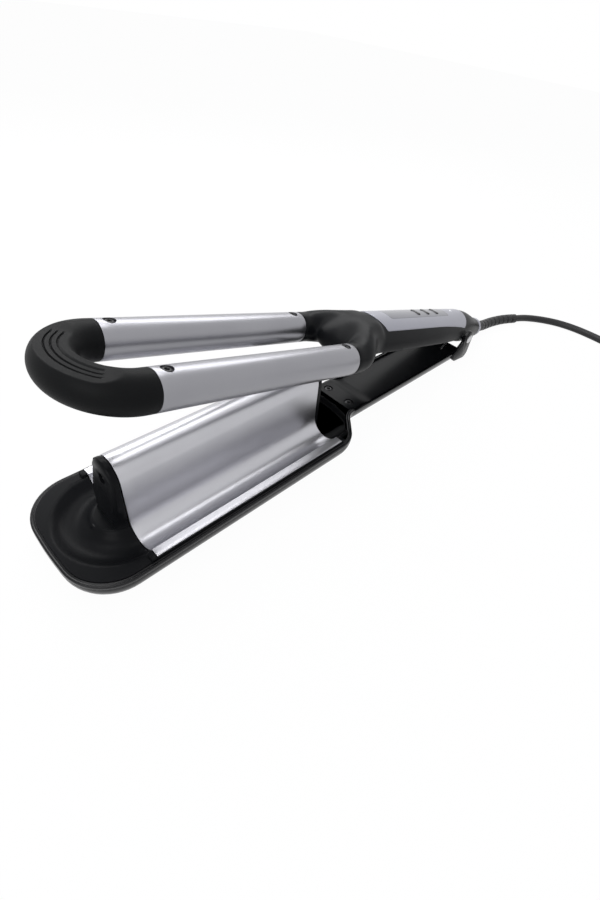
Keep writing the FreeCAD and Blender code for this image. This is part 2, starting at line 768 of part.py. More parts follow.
def upper_leads():
    """Heater leads from the barrels through the fork to the control board."""
    z = BARREL_HEIGHT
    route = [
        Vector(BARREL_LENGTH - ROD_INSET, BARREL_Y, z),
        Vector(BARREL_LENGTH + 6.0, BARREL_Y, z),
        Vector(BARREL_LENGTH + 19.0, BARREL_Y * 0.78, z + 1.5),
        Vector(BARREL_LENGTH + 31.0, BARREL_Y * 0.5, z + 4.0),
        Vector(BARREL_LENGTH + 45.0, BARREL_Y * 0.36, z + 7.0),
        Vector(BOARD_START - 0.5, BARREL_Y * 0.3, BOARD_TOP - BOARD_THICKNESS / 2),
    ]
    return Part.makeCompound(both_sides(bent_tube(route, LEAD_RADIUS)[0]))


def supply_lead():
    """The supply lead from the swivel, past the hinge pin, to the board."""
    side = LEAD_SIDEWAYS
    route = [
        Vector(SWIVEL_FLANGE_START - 0.3, 0, HINGE_Z),
        Vector(SWIVEL_FLANGE_START - 8.0, 0.5, HINGE_Z + 1.5),
        Vector(HINGE_X + 10.0, side, BOARD_TOP - 1.5),
        Vector(HINGE_X - 10.0, side, BOARD_TOP + 0.2),
        Vector(BOARD_END + 8.0, side, BOARD_TOP),
        Vector(BOARD_END + 0.5, side, BOARD_TOP - BOARD_THICKNESS / 2),
    ]
    return bent_tube(route, LEAD_RADIUS * 1.2)[0]


def bent_tube(points, radius):
    """A round tube along straight runs joined by tangent arcs; also gives its bend radii."""
    edges, bends = [], []
    start = points[0]
    for i in range(1, len(points) - 1):
        incoming = points[i] - points[i - 1]
        outgoing = points[i + 1] - points[i]
        half_turn = incoming.getAngle(outgoing) / 2
        bend = 0.45 * min(incoming.Length, outgoing.Length) / math.tan(half_turn)
        reach = bend * math.tan(half_turn)
        first = points[i] - incoming.normalize() * reach
        last = points[i] + outgoing.normalize() * reach
        inwards = (outgoing - incoming).normalize()
        middle = points[i] + inwards * (bend / math.cos(half_turn) - bend)
        edges.append(Part.LineSegment(start, first).toShape())
        edges.append(Part.Arc(first, middle, last).toShape())
        bends.append(bend)
        start = last
    edges.append(Part.LineSegment(start, points[-1]).toShape())
    path = Part.Wire(edges)
    heading = (points[1] - points[0]).normalize()
    ring = Part.Wire([Part.makeCircle(radius, points[0], heading)])
    tube = path.makePipeShell([ring], True, False)
    if tube.Volume < 0:
        tube = tube.reversed()
    return tube, bends, path.Length


def swivel_collar():
    """The light ring at the end of the handle."""
    start = HANDLE_SECTIONS[-1][0]
    ring = rod(Vector(start, 0, HINGE_Z), Vector(COLLAR_END, 0, HINGE_Z), COLLAR_RADIUS)
    ring = ring.makeFillet(1.2, [e for e in ring.Edges if e.BoundBox.XMin > COLLAR_END - 0.1])
    bore = rod(
        Vector(start, 0, HINGE_Z), Vector(COLLAR_END, 0, HINGE_Z), COLLAR_RADIUS - COLLAR_WALL
    )
    return ring.cut(bore)


def swivel_barrel():
    """The bush on the lead that turns in the collar, held by its flange."""
    journal = COLLAR_RADIUS - COLLAR_WALL - SWIVEL_GAP
    body = rod(
        Vector(SWIVEL_FLANGE_START, 0, HINGE_Z), Vector(COLLAR_END, 0, HINGE_Z), journal
    )
    flange = rod(
        Vector(SWIVEL_FLANGE_START + 0.3, 0, HINGE_Z),
        Vector(SWIVEL_FLANGE_START + 5.0, 0, HINGE_Z),
        SWIVEL_FLANGE - 0.1,
    )
    neck = rod(
        Vector(COLLAR_END, 0, HINGE_Z), Vector(COLLAR_END + NECK_LENGTH, 0, HINGE_Z), NECK_RADIUS
    )
    return body.fuse(flange).fuse(neck)


def lower_shell():
    """The outer shell of the lower jaw and handle, with the hinge ears."""
    outer = tray_block(0.0, -TRAY_DEPTH, 0.0, TRAY_BOTTOM_ROUND)
    inner = tray_block(
        TRAY_WALL, -TRAY_DEPTH + TRAY_WALL, 5.0, TRAY_BOTTOM_ROUND - TRAY_WALL
    )
    end = LOWER_HANDLE_END
    outer = outer.common(box(-FAR, end, -FAR, FAR, -FAR, FAR))
    inner = inner.common(box(-FAR, end - TRAY_WALL, -FAR, FAR, -FAR, FAR))
    shell = outer.cut(inner)
    shell = shell.cut(above_lip(LIP_DROP))
    shell = shell.cut(box(-FAR, FRAME_END + PARTING_GAP, -FAR, FAR, -PARTING_DROP - PARTING_GAP, TOP))
    for side in TWO_SIDES:
        shell = shell.fuse(hinge_ear(side))
    for x, y, top in shell_bosses():
        boss = rod(Vector(x, y, -TRAY_DEPTH + TRAY_WALL - 0.5), Vector(x, y, top), BOSS_RADIUS)
        shell = shell.fuse(boss)
    for x, y, z in lower_screw_places():
        shell = shell.cut(rod(Vector(x, y, z - 11.0), Vector(x, y, z), SMALL_SCREW_RADIUS))
    return shell.cut(axis_rod(AXLE_X, AXLE_Z, PIN_RADIUS, FAR))


def shell_bosses():
    """Screw bosses on the floor of the shell: x, y and top height."""
    rear = -COVER_THICKNESS - LAND_DROP
    return [
        (-ISLAND_SCREW_X, 0.0, -LINER_BOTTOM),
        (COVER_SCREW_X, COVER_SCREW_Y, rear),
        (COVER_SCREW_X, -COVER_SCREW_Y, rear),
    ]


def lower_screw_places():
    """Screw tops of the lower jaw: one in the island, two in the handle cover."""
    return [
        (-ISLAND_SCREW_X, 0.0, ISLAND_SCREW_TOP),
        (COVER_SCREW_X, COVER_SCREW_Y, -LAND_DROP - SMALL_HEAD_HEIGHT * 0.4),
        (COVER_SCREW_X, -COVER_SCREW_Y, -LAND_DROP - SMALL_HEAD_HEIGHT * 0.4),
    ]


def hinge_ear(side):
    """One ear of the lower jaw, beside the upper handle at the hinge."""
    inner = side * EAR_INNER
    outer = side * (EAR_INNER + EAR_THICKNESS)
    low, high = min(inner, outer), max(inner, outer)
    eye = rod(Vector(AXLE_X, low, AXLE_Z), Vector(AXLE_X, high, AXLE_Z), EAR_RADIUS)
    foot = rod(Vector(EAR_FOOT_X, low, EAR_FOOT_Z), Vector(EAR_FOOT_X, high, EAR_FOOT_Z), EAR_FOOT_RADIUS)
    base_z = -TRAY_DEPTH + TRAY_BOTTOM_ROUND * 0.45
    points = [
        (AXLE_X - EAR_RADIUS, AXLE_Z),
        (AXLE_X + EAR_RADIUS, AXLE_Z),
        (EAR_FOOT_X + EAR_FOOT_RADIUS, EAR_FOOT_Z),
        (EAR_FOOT_X - 1.0, EAR_FOOT_Z - EAR_FOOT_RADIUS),
        (LOWER_HANDLE_END - 6.0, base_z),
        (LOWER_HANDLE_END - 6.0, -HANDLE_LIP_DROP),
    ]
    wire = Part.makePolygon([Vector(x, low, z) for x, z in points + points[:1]])
    web = Part.Face(wire).extrude(Vector(0, high - low, 0))
    return eye.fuse(foot).fuse(web)


def tray_frame():
    """The upper ring of the tray, with a skirt that plugs into the shell."""
    ring = prism(tray_corners(0.0), -PARTING_DROP, 0.0)
    ring = ring.cut(prism(tray_corners(FRAME_WALL), -TOP, TOP))
    skirt = prism(
        tray_corners(TRAY_WALL + SKIRT_CLEARANCE), -PARTING_DROP - FRAME_SKIRT, -PARTING_DROP + 0.5
    )
    skirt = skirt.cut(prism(tray_corners(TRAY_WALL + FRAME_SKIRT_WALL), -TOP, TOP))
    frame = ring.fuse(skirt).cut(above_lip(LIP_DROP))
    return frame.common(box(-FAR, FRAME_END, -FAR, FAR, -FAR, FAR))


def lower_liner():
    """The inner moulding: valley for the tip, island, rails and the neck pocket."""
    edge = FRAME_WALL + LINER_GROOVE
    liner = prism(tray_corners(edge), -LINER_BOTTOM, -LAND_DROP)
    skirt_room = prism(tray_corners(0.0), -TOP, -PARTING_DROP + 0.8)
    liner = liner.cut(skirt_room.cut(prism(tray_corners(TRAY_WALL + FRAME_SKIRT_WALL + 0.2), -TOP, TOP)))
    liner = liner.common(box(-FAR, POCKET_END + 4.0, -FAR, FAR, -FAR, FAR))
    island = Part.makeCylinder(
        ISLAND_RADIUS, ISLAND_TOP + LINER_BOTTOM, Vector(VALLEY_CENTRE_X, 0, -LINER_BOTTOM)
    )
    island = island.common(box(-FAR, -CAP_GAP, -11.0, 11.0, -FAR, FAR))
    liner = liner.fuse(island)
    ledge_y = RIM_HALF_WIDTH - 0.9
    for side in TWO_SIDES:
        low, high = sorted((side * RAIL_INNER, side * ledge_y))
        liner = liner.fuse(box(0.0, PLATE_LENGTH, low, high, -LINER_BOTTOM, -SHEET))
    valley = Part.makeTorus(
        BARREL_Y, VALLEY_RADIUS, Vector(VALLEY_CENTRE_X, 0, BARREL_HEIGHT), Vector(0, 0, 1)
    ).common(box(-FAR, VALLEY_CENTRE_X, -FAR, FAR, -FAR, FAR))
    liner = liner.cut(valley)
    for side in TWO_SIDES:
        trough = rod(
            Vector(VALLEY_CENTRE_X, side * BARREL_Y, BARREL_HEIGHT),
            Vector(0.0, side * BARREL_Y, BARREL_HEIGHT),
            VALLEY_RADIUS,
        )
        liner = liner.cut(trough)
    skin_room = Part.makeCompound([
        rod(
            Vector(-CAP_GAP, side * BARREL_Y, BARREL_HEIGHT),
            Vector(PLATE_LENGTH + CAP_GAP, side * BARREL_Y, BARREL_HEIGHT),
            TROUGH_RADIUS + SHEET,
        )
        for side in TWO_SIDES
    ])
    window = box(-CAP_GAP, PLATE_LENGTH + CAP_GAP, -RAIL_INNER, RAIL_INNER, -TOP, TOP)
    liner = liner.cut(window).cut(skin_room)
    pocket = prism(pocket_corners(), -POCKET_DROP, TOP)
    liner = liner.cut(pocket)
    screw = rod(
        Vector(-ISLAND_SCREW_X, 0, -LINER_BOTTOM), Vector(-ISLAND_SCREW_X, 0, TOP), SMALL_SCREW_RADIUS
    )
    counterbore = rod(
        Vector(-ISLAND_SCREW_X, 0, ISLAND_SCREW_TOP - SMALL_HEAD_HEIGHT),
        Vector(-ISLAND_SCREW_X, 0, TOP),
        SMALL_HEAD_RADIUS - 0.6,
    )
    return liner.cut(screw).cut(counterbore)


def pocket_corners():
    """The outline of the pocket that takes the root of the fork."""
    half = BARREL_Y + TROUGH_RADIUS
    return [
        (PLATE_LENGTH + CAP_GAP, -half, 0.0),
        (POCKET_START + 9.0, -half, 10.0),
        (POCKET_END, -BARREL_Y * 0.5, 8.0),
        (POCKET_END, BARREL_Y * 0.5, 8.0),
        (POCKET_START + 9.0, half, 10.0),
        (PLATE_LENGTH + CAP_GAP, half, 0.0),
    ]


def lower_handle_cover():
    """The black cover over the lower handle, with a raised plateau at its front."""
    start = POCKET_END + 4.2
    ramp_start = COVER_SCREW_X + 6.0
    ramp_end = ramp_start + 16.0
    points = [
        (start, -LAND_DROP),
        (ramp_start, -LAND_DROP),
        (ramp_end, -COVER_DROP),
        (FAR, -COVER_DROP),
        (FAR, -COVER_DROP - COVER_THICKNESS),
        (ramp_end - 1.0, -COVER_DROP - COVER_THICKNESS),
        (ramp_start - 1.0, -LAND_DROP - COVER_THICKNESS),
        (start, -LAND_DROP - COVER_THICKNESS),
    ]
    strip = side_profile(points, TRAY_HALF_WIDTH)
    inside = tray_block(
        TRAY_WALL + COVER_GAP, -TRAY_DEPTH + TRAY_WALL, 5.0, TRAY_BOTTOM_ROUND - TRAY_WALL - COVER_GAP
    )
    inside = inside.common(box(-FAR, LOWER_HANDLE_END - TRAY_WALL - COVER_GAP, -FAR, FAR, -FAR, FAR))
    frame_room = prism(tray_corners(0.0), -TOP, TOP).cut(
        prism(tray_corners(FRAME_WALL + LINER_GROOVE), -TOP, TOP)
    ).common(box(-FAR, FRAME_END + PARTING_GAP, -FAR, FAR, -FAR, FAR))
    cover = strip.common(inside).cut(frame_room)
    for screw in rear_screws():
        cover = cover.cut(screw)
    return cover


def rear_screws():
    """The two screws in the plateau of the handle cover."""
    screws = []
    for side in TWO_SIDES:
        y = side * COVER_SCREW_Y
        top = -LAND_DROP - 0.3
        crown = Vector(COVER_SCREW_X, y, top)
        head = rod(crown - Vector(0, 0, SMALL_HEAD_HEIGHT), crown, SMALL_HEAD_RADIUS)
        shank = rod(Vector(COVER_SCREW_X, y, top - 8.0), Vector(COVER_SCREW_X, y, top), SMALL_SCREW_RADIUS)
        screws.append(head.fuse(shank))
    return screws


def lower_screws():
    """All the screws of the lower jaw that show."""
    z = ISLAND_SCREW_TOP
    head_radius = SMALL_HEAD_RADIUS - 0.65
    head = rod(Vector(-ISLAND_SCREW_X, 0, z - SMALL_HEAD_HEIGHT), Vector(-ISLAND_SCREW_X, 0, z), head_radius)
    shank = rod(Vector(-ISLAND_SCREW_X, 0, z - 11.0), Vector(-ISLAND_SCREW_X, 0, z), SMALL_SCREW_RADIUS)
    return Part.makeCompound([head.fuse(shank)] + rear_screws())


def front_ridge_cap():
    """The black fin that closes the front of the ridge, leaning back over the island."""
    back = ridge_wire(-CAP_GAP, 0.0, ISLAND_TOP + 0.1)
    front = ridge_wire(0.0, -CAP_FRONT_INSET, ISLAND_TOP + 0.1)
    lean = (CAP_FRONT_FOOT - CAP_FRONT_TOP) / (CREST_CENTRE_HEIGHT - ISLAND_TOP)
    shear = FreeCAD.Matrix(
        1, 0, lean, -CAP_FRONT_FOOT - lean * ISLAND_TOP,
        0, 1, 0, 0,
        0, 0, 1, 0,
        0, 0, 0, 1,
    )
    front = front.transformGeometry(shear)
    cap = Part.makeLoft([back, Part.Wire(front.Edges)], True, True)
    slot_z = CREST_CENTRE_HEIGHT - 0.6
    slot = rod(Vector(-12.0, 0, slot_z), Vector(-CAP_FRONT_TOP + 1.4, 0, slot_z), 2.4)
    return cap.cut(slot)


def rear_ridge_cap():
    """The black bulkhead that closes the rear of the ridge."""
    start = PLATE_LENGTH + CAP_GAP
    face = Part.Face(ridge_wire(start, 0.0, -POCKET_DROP + 0.05))
    return face.extrude(Vector(CAP_REAR_LENGTH, 0, 0))


def ridge_spreader():
    """The inner aluminium channel that carries heat to the crest."""
    grow = -SHEET - SPREADER_GAP
    low = SPREADER_LOW
    outer = Part.Face(ridge_wire(STRIP_INSET - 4.0, grow, low))
    inner = Part.Face(ridge_wire(STRIP_INSET - 4.0, grow - SPREADER, low - 1.0))
    section = outer.cut(inner)
    return section.extrude(Vector(PLATE_LENGTH - 2 * STRIP_INSET + 8.0, 0, 0))


def ridge_heater():
    """The heater strip that stands in the ridge."""
    return box(STRIP_INSET, PLATE_LENGTH - STRIP_INSET, -STRIP_HALF, STRIP_HALF, STRIP_LOW, STRIP_HIGH)


def heater_clamps():
    """Two sprung pads that press the heater against the channel's walls."""
    wall = CREST_RADIUS - SHEET - SPREADER_GAP - SPREADER
    z0, z1 = STRIP_LOW + 2.0, CREST_CENTRE_HEIGHT - 2.0
    pad = box(STRIP_INSET + 6.0, PLATE_LENGTH - STRIP_INSET - 6.0, STRIP_HALF, wall - 0.05, z0, z1)
    return Part.makeCompound(both_sides(pad))


def heater_posts():
    """Posts from the floor of the tray that carry the heater."""
    low = -TRAY_DEPTH + TRAY_WALL + PAD_THICKNESS
    return Part.makeCompound([
        box(x, x + POST_LENGTH, -STRIP_HALF, STRIP_HALF, low, STRIP_LOW)
        for x in (STRIP_INSET + 4.0, PLATE_LENGTH - STRIP_INSET - 4.0 - POST_LENGTH)
    ])


def insulating_pad():
    """The insulating sheet on the floor of the tray."""
    low = -TRAY_DEPTH + TRAY_WALL
    return prism(rectangle(4.0, PLATE_LENGTH - 4.0, PAD_HALF, 3.0), low, low + PAD_THICKNESS)


def plate_leads():
    """Leads from the ridge heater down into the lower handle."""
    floor = -TRAY_DEPTH + TRAY_WALL + PAD_THICKNESS + LEAD_RADIUS + 0.2
    x = PLATE_LENGTH - STRIP_INSET
    route = [
        Vector(x + 0.5, 0, STRIP_LOW + 4.0),
        Vector(x + 6.0, 0, STRIP_LOW + 2.0),
        Vector(x + 12.0, 0, -8.0),
        Vector(x + 26.0, 0, floor),
        Vector(x + 60.0, 0, floor + 0.4),
        Vector(LOWER_HANDLE_END - 20.0, 2.0, floor - 0.6),
    ]
    return bent_tube(route, LEAD_RADIUS)[0]


def hinge_pin():
    """The hinge pin with its domed head, pressed into the ears."""
    outside = EAR_INNER + EAR_THICKNESS
    shaft = axis_rod(AXLE_X, AXLE_Z, PIN_RADIUS, outside)
    head = rod(
        Vector(AXLE_X, -outside, AXLE_Z),
        Vector(AXLE_X, -outside - PIN_HEAD, AXLE_Z),
        PIN_HEAD_RADIUS,
    )
    head = head.makeFillet(0.6, [e for e in head.Edges if e.BoundBox.YMax < -outside - PIN_HEAD + 0.1])
    tail = rod(
        Vector(AXLE_X, outside, AXLE_Z), Vector(AXLE_X, outside + PIN_HEAD, AXLE_Z), PIN_RADIUS
    )
    return shaft.fuse(head).fuse(tail)


def pin_cap():
    """The push-on cap over the far end of the hinge pin."""
    outside = EAR_INNER + EAR_THICKNESS
    cap = rod(
        Vector(AXLE_X, outside, AXLE_Z),
        Vector(AXLE_X, outside + PIN_HEAD + 0.4, AXLE_Z),
        PIN_HEAD_RADIUS,
    )
    return cap.cut(axis_rod(AXLE_X, AXLE_Z, PIN_RADIUS, outside + PIN_HEAD))


def torsion_spring():
    """The spring round the pin: close turns and two legs that part the jaws."""
    radius = SPRING_COIL_RADIUS
    points, tangents = [], []
    steps = SPRING_TURNS * 4
    y0 = -SPRING_PITCH * SPRING_TURNS / 2
    for i in range(steps + 1):
        turn = i * math.pi / 2 - math.radians(90 - SPRING_LEG_SLOPE)
        points.append(Vector(
            AXLE_X + radius * math.cos(turn),
            y0 + SPRING_PITCH * i / 4,
            AXLE_Z + radius * math.sin(turn),
        ))
        tangents.append(Vector(
            -radius * math.sin(turn), SPRING_PITCH / (2 * math.pi), radius * math.cos(turn)
        ).normalize())
    path = [Part.LineSegment(points[0] - tangents[0] * SPRING_LEG, points[0]).toShape()]
    for i in range(steps):
        path += biarc(points[i], tangents[i], points[i + 1], tangents[i + 1])
    wire = Part.Wire(path)
    start = points[0] - tangents[0] * SPRING_LEG
    ring = Part.Wire([Part.makeCircle(SPRING_WIRE / 2, start, tangents[0])])
    return positive(wire.makePipeShell([ring], True, False))


def positive(shape):
    """The same solid, facing outwards."""
    return shape.reversed() if shape.Volume < 0 else shape


def arc_from(start, tangent, end):
    """The circular arc that leaves start along tangent and reaches end."""
    chord = end - start
    sideways = chord - tangent * chord.dot(tangent)
    if sideways.Length < 1e-7:
        return Part.LineSegment(start, end).toShape()
    normal = sideways.normalize()
    radius = chord.dot(chord) / (2 * chord.dot(normal))
    centre = start + normal * radius
    outward = (start + end) * 0.5 - centre
    middle = centre + outward.normalize() * radius
    return Part.Arc(start, middle, end).toShape()


def biarc(start, start_tangent, end, end_tangent):
    """Two tangent arcs that join two points and their directions."""
    chord = end - start
    total = start_tangent + end_tangent
    along = chord.dot(total)
    bend = 2 * (1 - start_tangent.dot(end_tangent))
    if bend < 1e-9:
        reach = chord.dot(chord) / (4 * chord.dot(end_tangent))
    else:
        reach = (-along + math.sqrt(along ** 2 + bend * chord.dot(chord))) / bend
    joint = (start + end + (start_tangent - end_tangent) * reach) * 0.5
    first = arc_from(start, start_tangent, joint)
    second = arc_from(end, end_tangent * -1, joint)
    return [first, second]


def coil_point(angle, first):
    """A point on the coil's middle line after turning through an angle, and its centre."""
    growth = COIL_PITCH / (2 * math.pi)
    total = COIL_TURNS * 2 * math.pi
    half = total / 2
    outer = COIL_MEAN_RADIUS + growth * half / 2
    away = abs(angle - half)
    if away < math.pi / 2:
        inset = growth * (math.pi / 4 + away ** 2 / math.pi)
    else:
        inset = growth * away
    radius = outer - growth * half + inset
    climb = min(max((angle - half) / math.pi + 0.5, 0.0), 1.0)
    height = COIL_LAYER * (climb - math.sin(2 * math.pi * climb) / (2 * math.pi))
    lean = math.atan(growth / outer)
    start = first - Vector(0, CORD_DIAMETER + 0.5, 0)
    centre = start - Vector(outer * math.cos(lean), outer * math.sin(lean), 0)
    place = lean - angle
    return centre + Vector(radius * math.cos(place), radius * math.sin(place), height), centre


def coil_tangent(angle, first):
    """The direction of the cord at one place of the coil."""
    step = 1e-4
    before = coil_point(angle - step, first)[0]
    after = coil_point(angle + step, first)[0]
    return (after - before).normalize()


def cord_coil(first):
    """The put-away length: turns spiral in, climb a layer and spiral out again."""
    total = COIL_TURNS * 2 * math.pi
    steps = int(COIL_TURNS * 4)
    angles = [total * i / steps for i in range(steps + 1)]
    points = [coil_point(a, first)[0] for a in angles]
    tangents = [coil_tangent(a, first) for a in angles]
    tangents[0] = Vector(0, -1, 0)
    last = points[-1] + tangents[-1] * (CORD_DIAMETER + 0.5)
    edges = [Part.LineSegment(first, points[0]).toShape()]
    for i in range(steps):
        edges += biarc(points[i], tangents[i], points[i + 1], tangents[i + 1])
    edges.append(Part.LineSegment(points[-1], last).toShape())
    wire = Part.Wire(edges)
    ring = Part.Wire([Part.makeCircle(CORD_DIAMETER / 2, first, Vector(0, -1, 0))])
    coil = positive(wire.makePipeShell([ring], True, False))
    print("coil length", round(wire.Length, 1), "volume ratio",
          round(coil.Volume / (math.pi * CORD_DIAMETER ** 2 / 4 * wire.Length), 4))
    print("coil least gap to itself", round(coil_self_gap(total, first), 3))
    return coil, last, tangents[-1], wire.Length


def coil_self_gap(total, first):
    """The least space between turns of the coil, measured on points."""
    count = 600
    points = [coil_point(total * i / count, first)[0] for i in range(count + 1)]
    apart = int(count / COIL_TURNS * 0.6)
    least = min(
        (points[i] - points[j]).Length
        for i in range(count + 1)
        for j in range(i + apart, count + 1)
    )
    return least - CORD_DIAMETER


def coil_tie(first):
    """The strap round the coil's turns at one place."""
    total = COIL_TURNS * 2 * math.pi
    centre = coil_point(0.0, first)[1]
    growth = COIL_PITCH / (2 * math.pi)
    outer = COIL_MEAN_RADIUS + growth * total / 4 + CORD_DIAMETER / 2 + 0.3
    inner = COIL_MEAN_RADIUS - growth * total / 4 - CORD_DIAMETER / 2 - 0.3
    low = centre.z - CORD_DIAMETER / 2 - 0.05
    high = centre.z + COIL_LAYER + CORD_DIAMETER / 2 + 0.3
    hollow = rounded_box(inner, outer, low, high, CORD_DIAMETER / 2)
    t = TIE_THICKNESS
    band = rounded_box(inner - t, outer + t, low - t, high + t, CORD_DIAMETER / 2 + t)
    band = band.cut(hollow)
    band.rotate(Vector(0, 0, 0), Vector(0, 0, 1), TIE_ANGLE)
    band.translate(Vector(centre.x, centre.y, 0))
    return band


def rounded_box(x0, x1, z0, z1, radius):
    """A block across the coil's section, rounded along its length."""
    block = box(x0, x1, -TIE_WIDTH / 2, TIE_WIDTH / 2, z0, z1)
    long_edges = [e for e in block.Edges if e.BoundBox.YLength > TIE_WIDTH - 0.1]
    return block.makeFillet(radius, long_edges)


def route_points(route, neck_end):
    """A route's points in the frame of the finished part."""
    return [Vector(neck_end.x + x, y, z) for x, y, z in route]


def strain_relief(start, heading):
    """The segmented relief: a core with rings that get smaller towards the cord."""
    points = [start, start + heading * RELIEF_STRAIGHT] + route_points(RELIEF_ROUTE, start)
    core, bends, length = bent_tube(points, RELIEF_CORE)
    print("relief length", round(length, 1), "bends", [round(b, 1) for b in bends])
    path = relief_path(points)
    relief = core
    for i in range(RELIEF_RINGS):
        share = i / (RELIEF_RINGS - 1)
        radius = RELIEF_RING_START + (RELIEF_RING_END - RELIEF_RING_START) * share
        place = RELIEF_GAP + (length - RELIEF_RING_LENGTH - 2 * RELIEF_GAP) * share
        here = path_point(path, place)
        there = path_point(path, place + RELIEF_RING_LENGTH)
        relief = relief.fuse(rod(here, there, radius))
    return relief


def relief_path(points):
    """The relief's middle line as one wire."""
    edges = []
    start = points[0]
    for i in range(1, len(points) - 1):
        incoming = points[i] - points[i - 1]
        outgoing = points[i + 1] - points[i]
        half_turn = incoming.getAngle(outgoing) / 2
        reach = 0.45 * min(incoming.Length, outgoing.Length)
        bend = reach / math.tan(half_turn)
        first = points[i] - incoming.normalize() * reach
        last = points[i] + outgoing.normalize() * reach
        inwards = (outgoing - incoming).normalize()
        middle = points[i] + inwards * (bend / math.cos(half_turn) - bend)
        edges.append(Part.LineSegment(start, first).toShape())
        edges.append(Part.Arc(first, middle, last).toShape())
        start = last
    edges.append(Part.LineSegment(start, points[-1]).toShape())
    return Part.Wire(edges)


def path_point(wire, distance):
    """The point at a distance along a wire."""
    left = distance
    for edge in wire.Edges:
        if left <= edge.Length:
            return edge.valueAt(edge.getParameterByLength(left))
        left -= edge.Length
    return wire.Edges[-1].valueAt(wire.Edges[-1].LastParameter)


def power_cord(neck_end):
    """The free lead from the relief to the coil."""
    points = route_points(RELIEF_ROUTE[-1:] + CORD_ROUTE, neck_end)
    tube, bends, length = bent_tube(points, CORD_DIAMETER / 2)
    print("cord bends", [round(b, 1) for b in bends], "least allowed", CORD_BEND_MIN)
    print("cord tube length", round(length, 1), "volume ratio",
          round(tube.Volume / (math.pi * CORD_DIAMETER ** 2 / 4 * length), 4))
    return tube, length


def plug_body(start, heading):
    """The moulded plug beside the coil: a tapered grip and an oval body."""
    sideways = Vector(0, 0, 1).cross(heading).normalize()

    def oval(distance, half_width, half_height):
        centre = start + heading * distance
        right = sideways * half_width
        up = Vector(0, 0, 1) * half_height
        return Part.Wire([
            quarter(centre + right, centre + right + up, centre + up),
            quarter(centre + up, centre + up - right, centre - right),
            quarter(centre - right, centre - right - up, centre - up),
            quarter(centre - up, centre - up + right, centre + right),
        ])

    stations = [(0.0, 4.4, 4.4), (PLUG_NECK * 0.6, 5.4, 5.2)]
    for i in range(1, PLUG_SECTIONS + 1):
        share = i / PLUG_SECTIONS
        swell = math.sin(share * math.pi / 2)
        stations.append((
            PLUG_NECK * 0.6 + share * PLUG_LENGTH * 0.6,
            5.4 + (PLUG_WIDTH / 2 - 5.4) * swell,
            5.2 + (PLUG_HEIGHT / 2 - 5.2) * swell,
        ))
    stations.append((PLUG_NECK + PLUG_LENGTH - 3.0, PLUG_WIDTH / 2, PLUG_HEIGHT / 2))
    stations.append((PLUG_NECK + PLUG_LENGTH, PLUG_WIDTH / 2 - 2.0, PLUG_HEIGHT / 2 - 2.0))
    return positive(Part.makeLoft([oval(*station) for station in stations], True, True))


def plug_pins(start, heading):
    """The two round pins of the plug."""
    sideways = Vector(0, 0, 1).cross(heading).normalize()
    pins = []
    for side in TWO_SIDES:
        foot = start + heading * (PLUG_NECK + PLUG_LENGTH) + sideways * (side * PLUG_PIN_SPACING / 2)
        pins.append(rod(foot, foot + heading * PLUG_PIN_LENGTH, PLUG_PIN_RADIUS))
    return Part.makeCompound(pins)


def swing_open(shape):
    """An upper piece, set over the plate and turned up about the hinge's axle."""
    moved = shape.copy()
    moved.translate(Vector(CLOSED_SETBACK, 0, CLOSED_LIFT))
    moved.rotate(Vector(AXLE_X, 0, AXLE_Z), Vector(0, 1, 0), OPEN_ANGLE)
    return moved


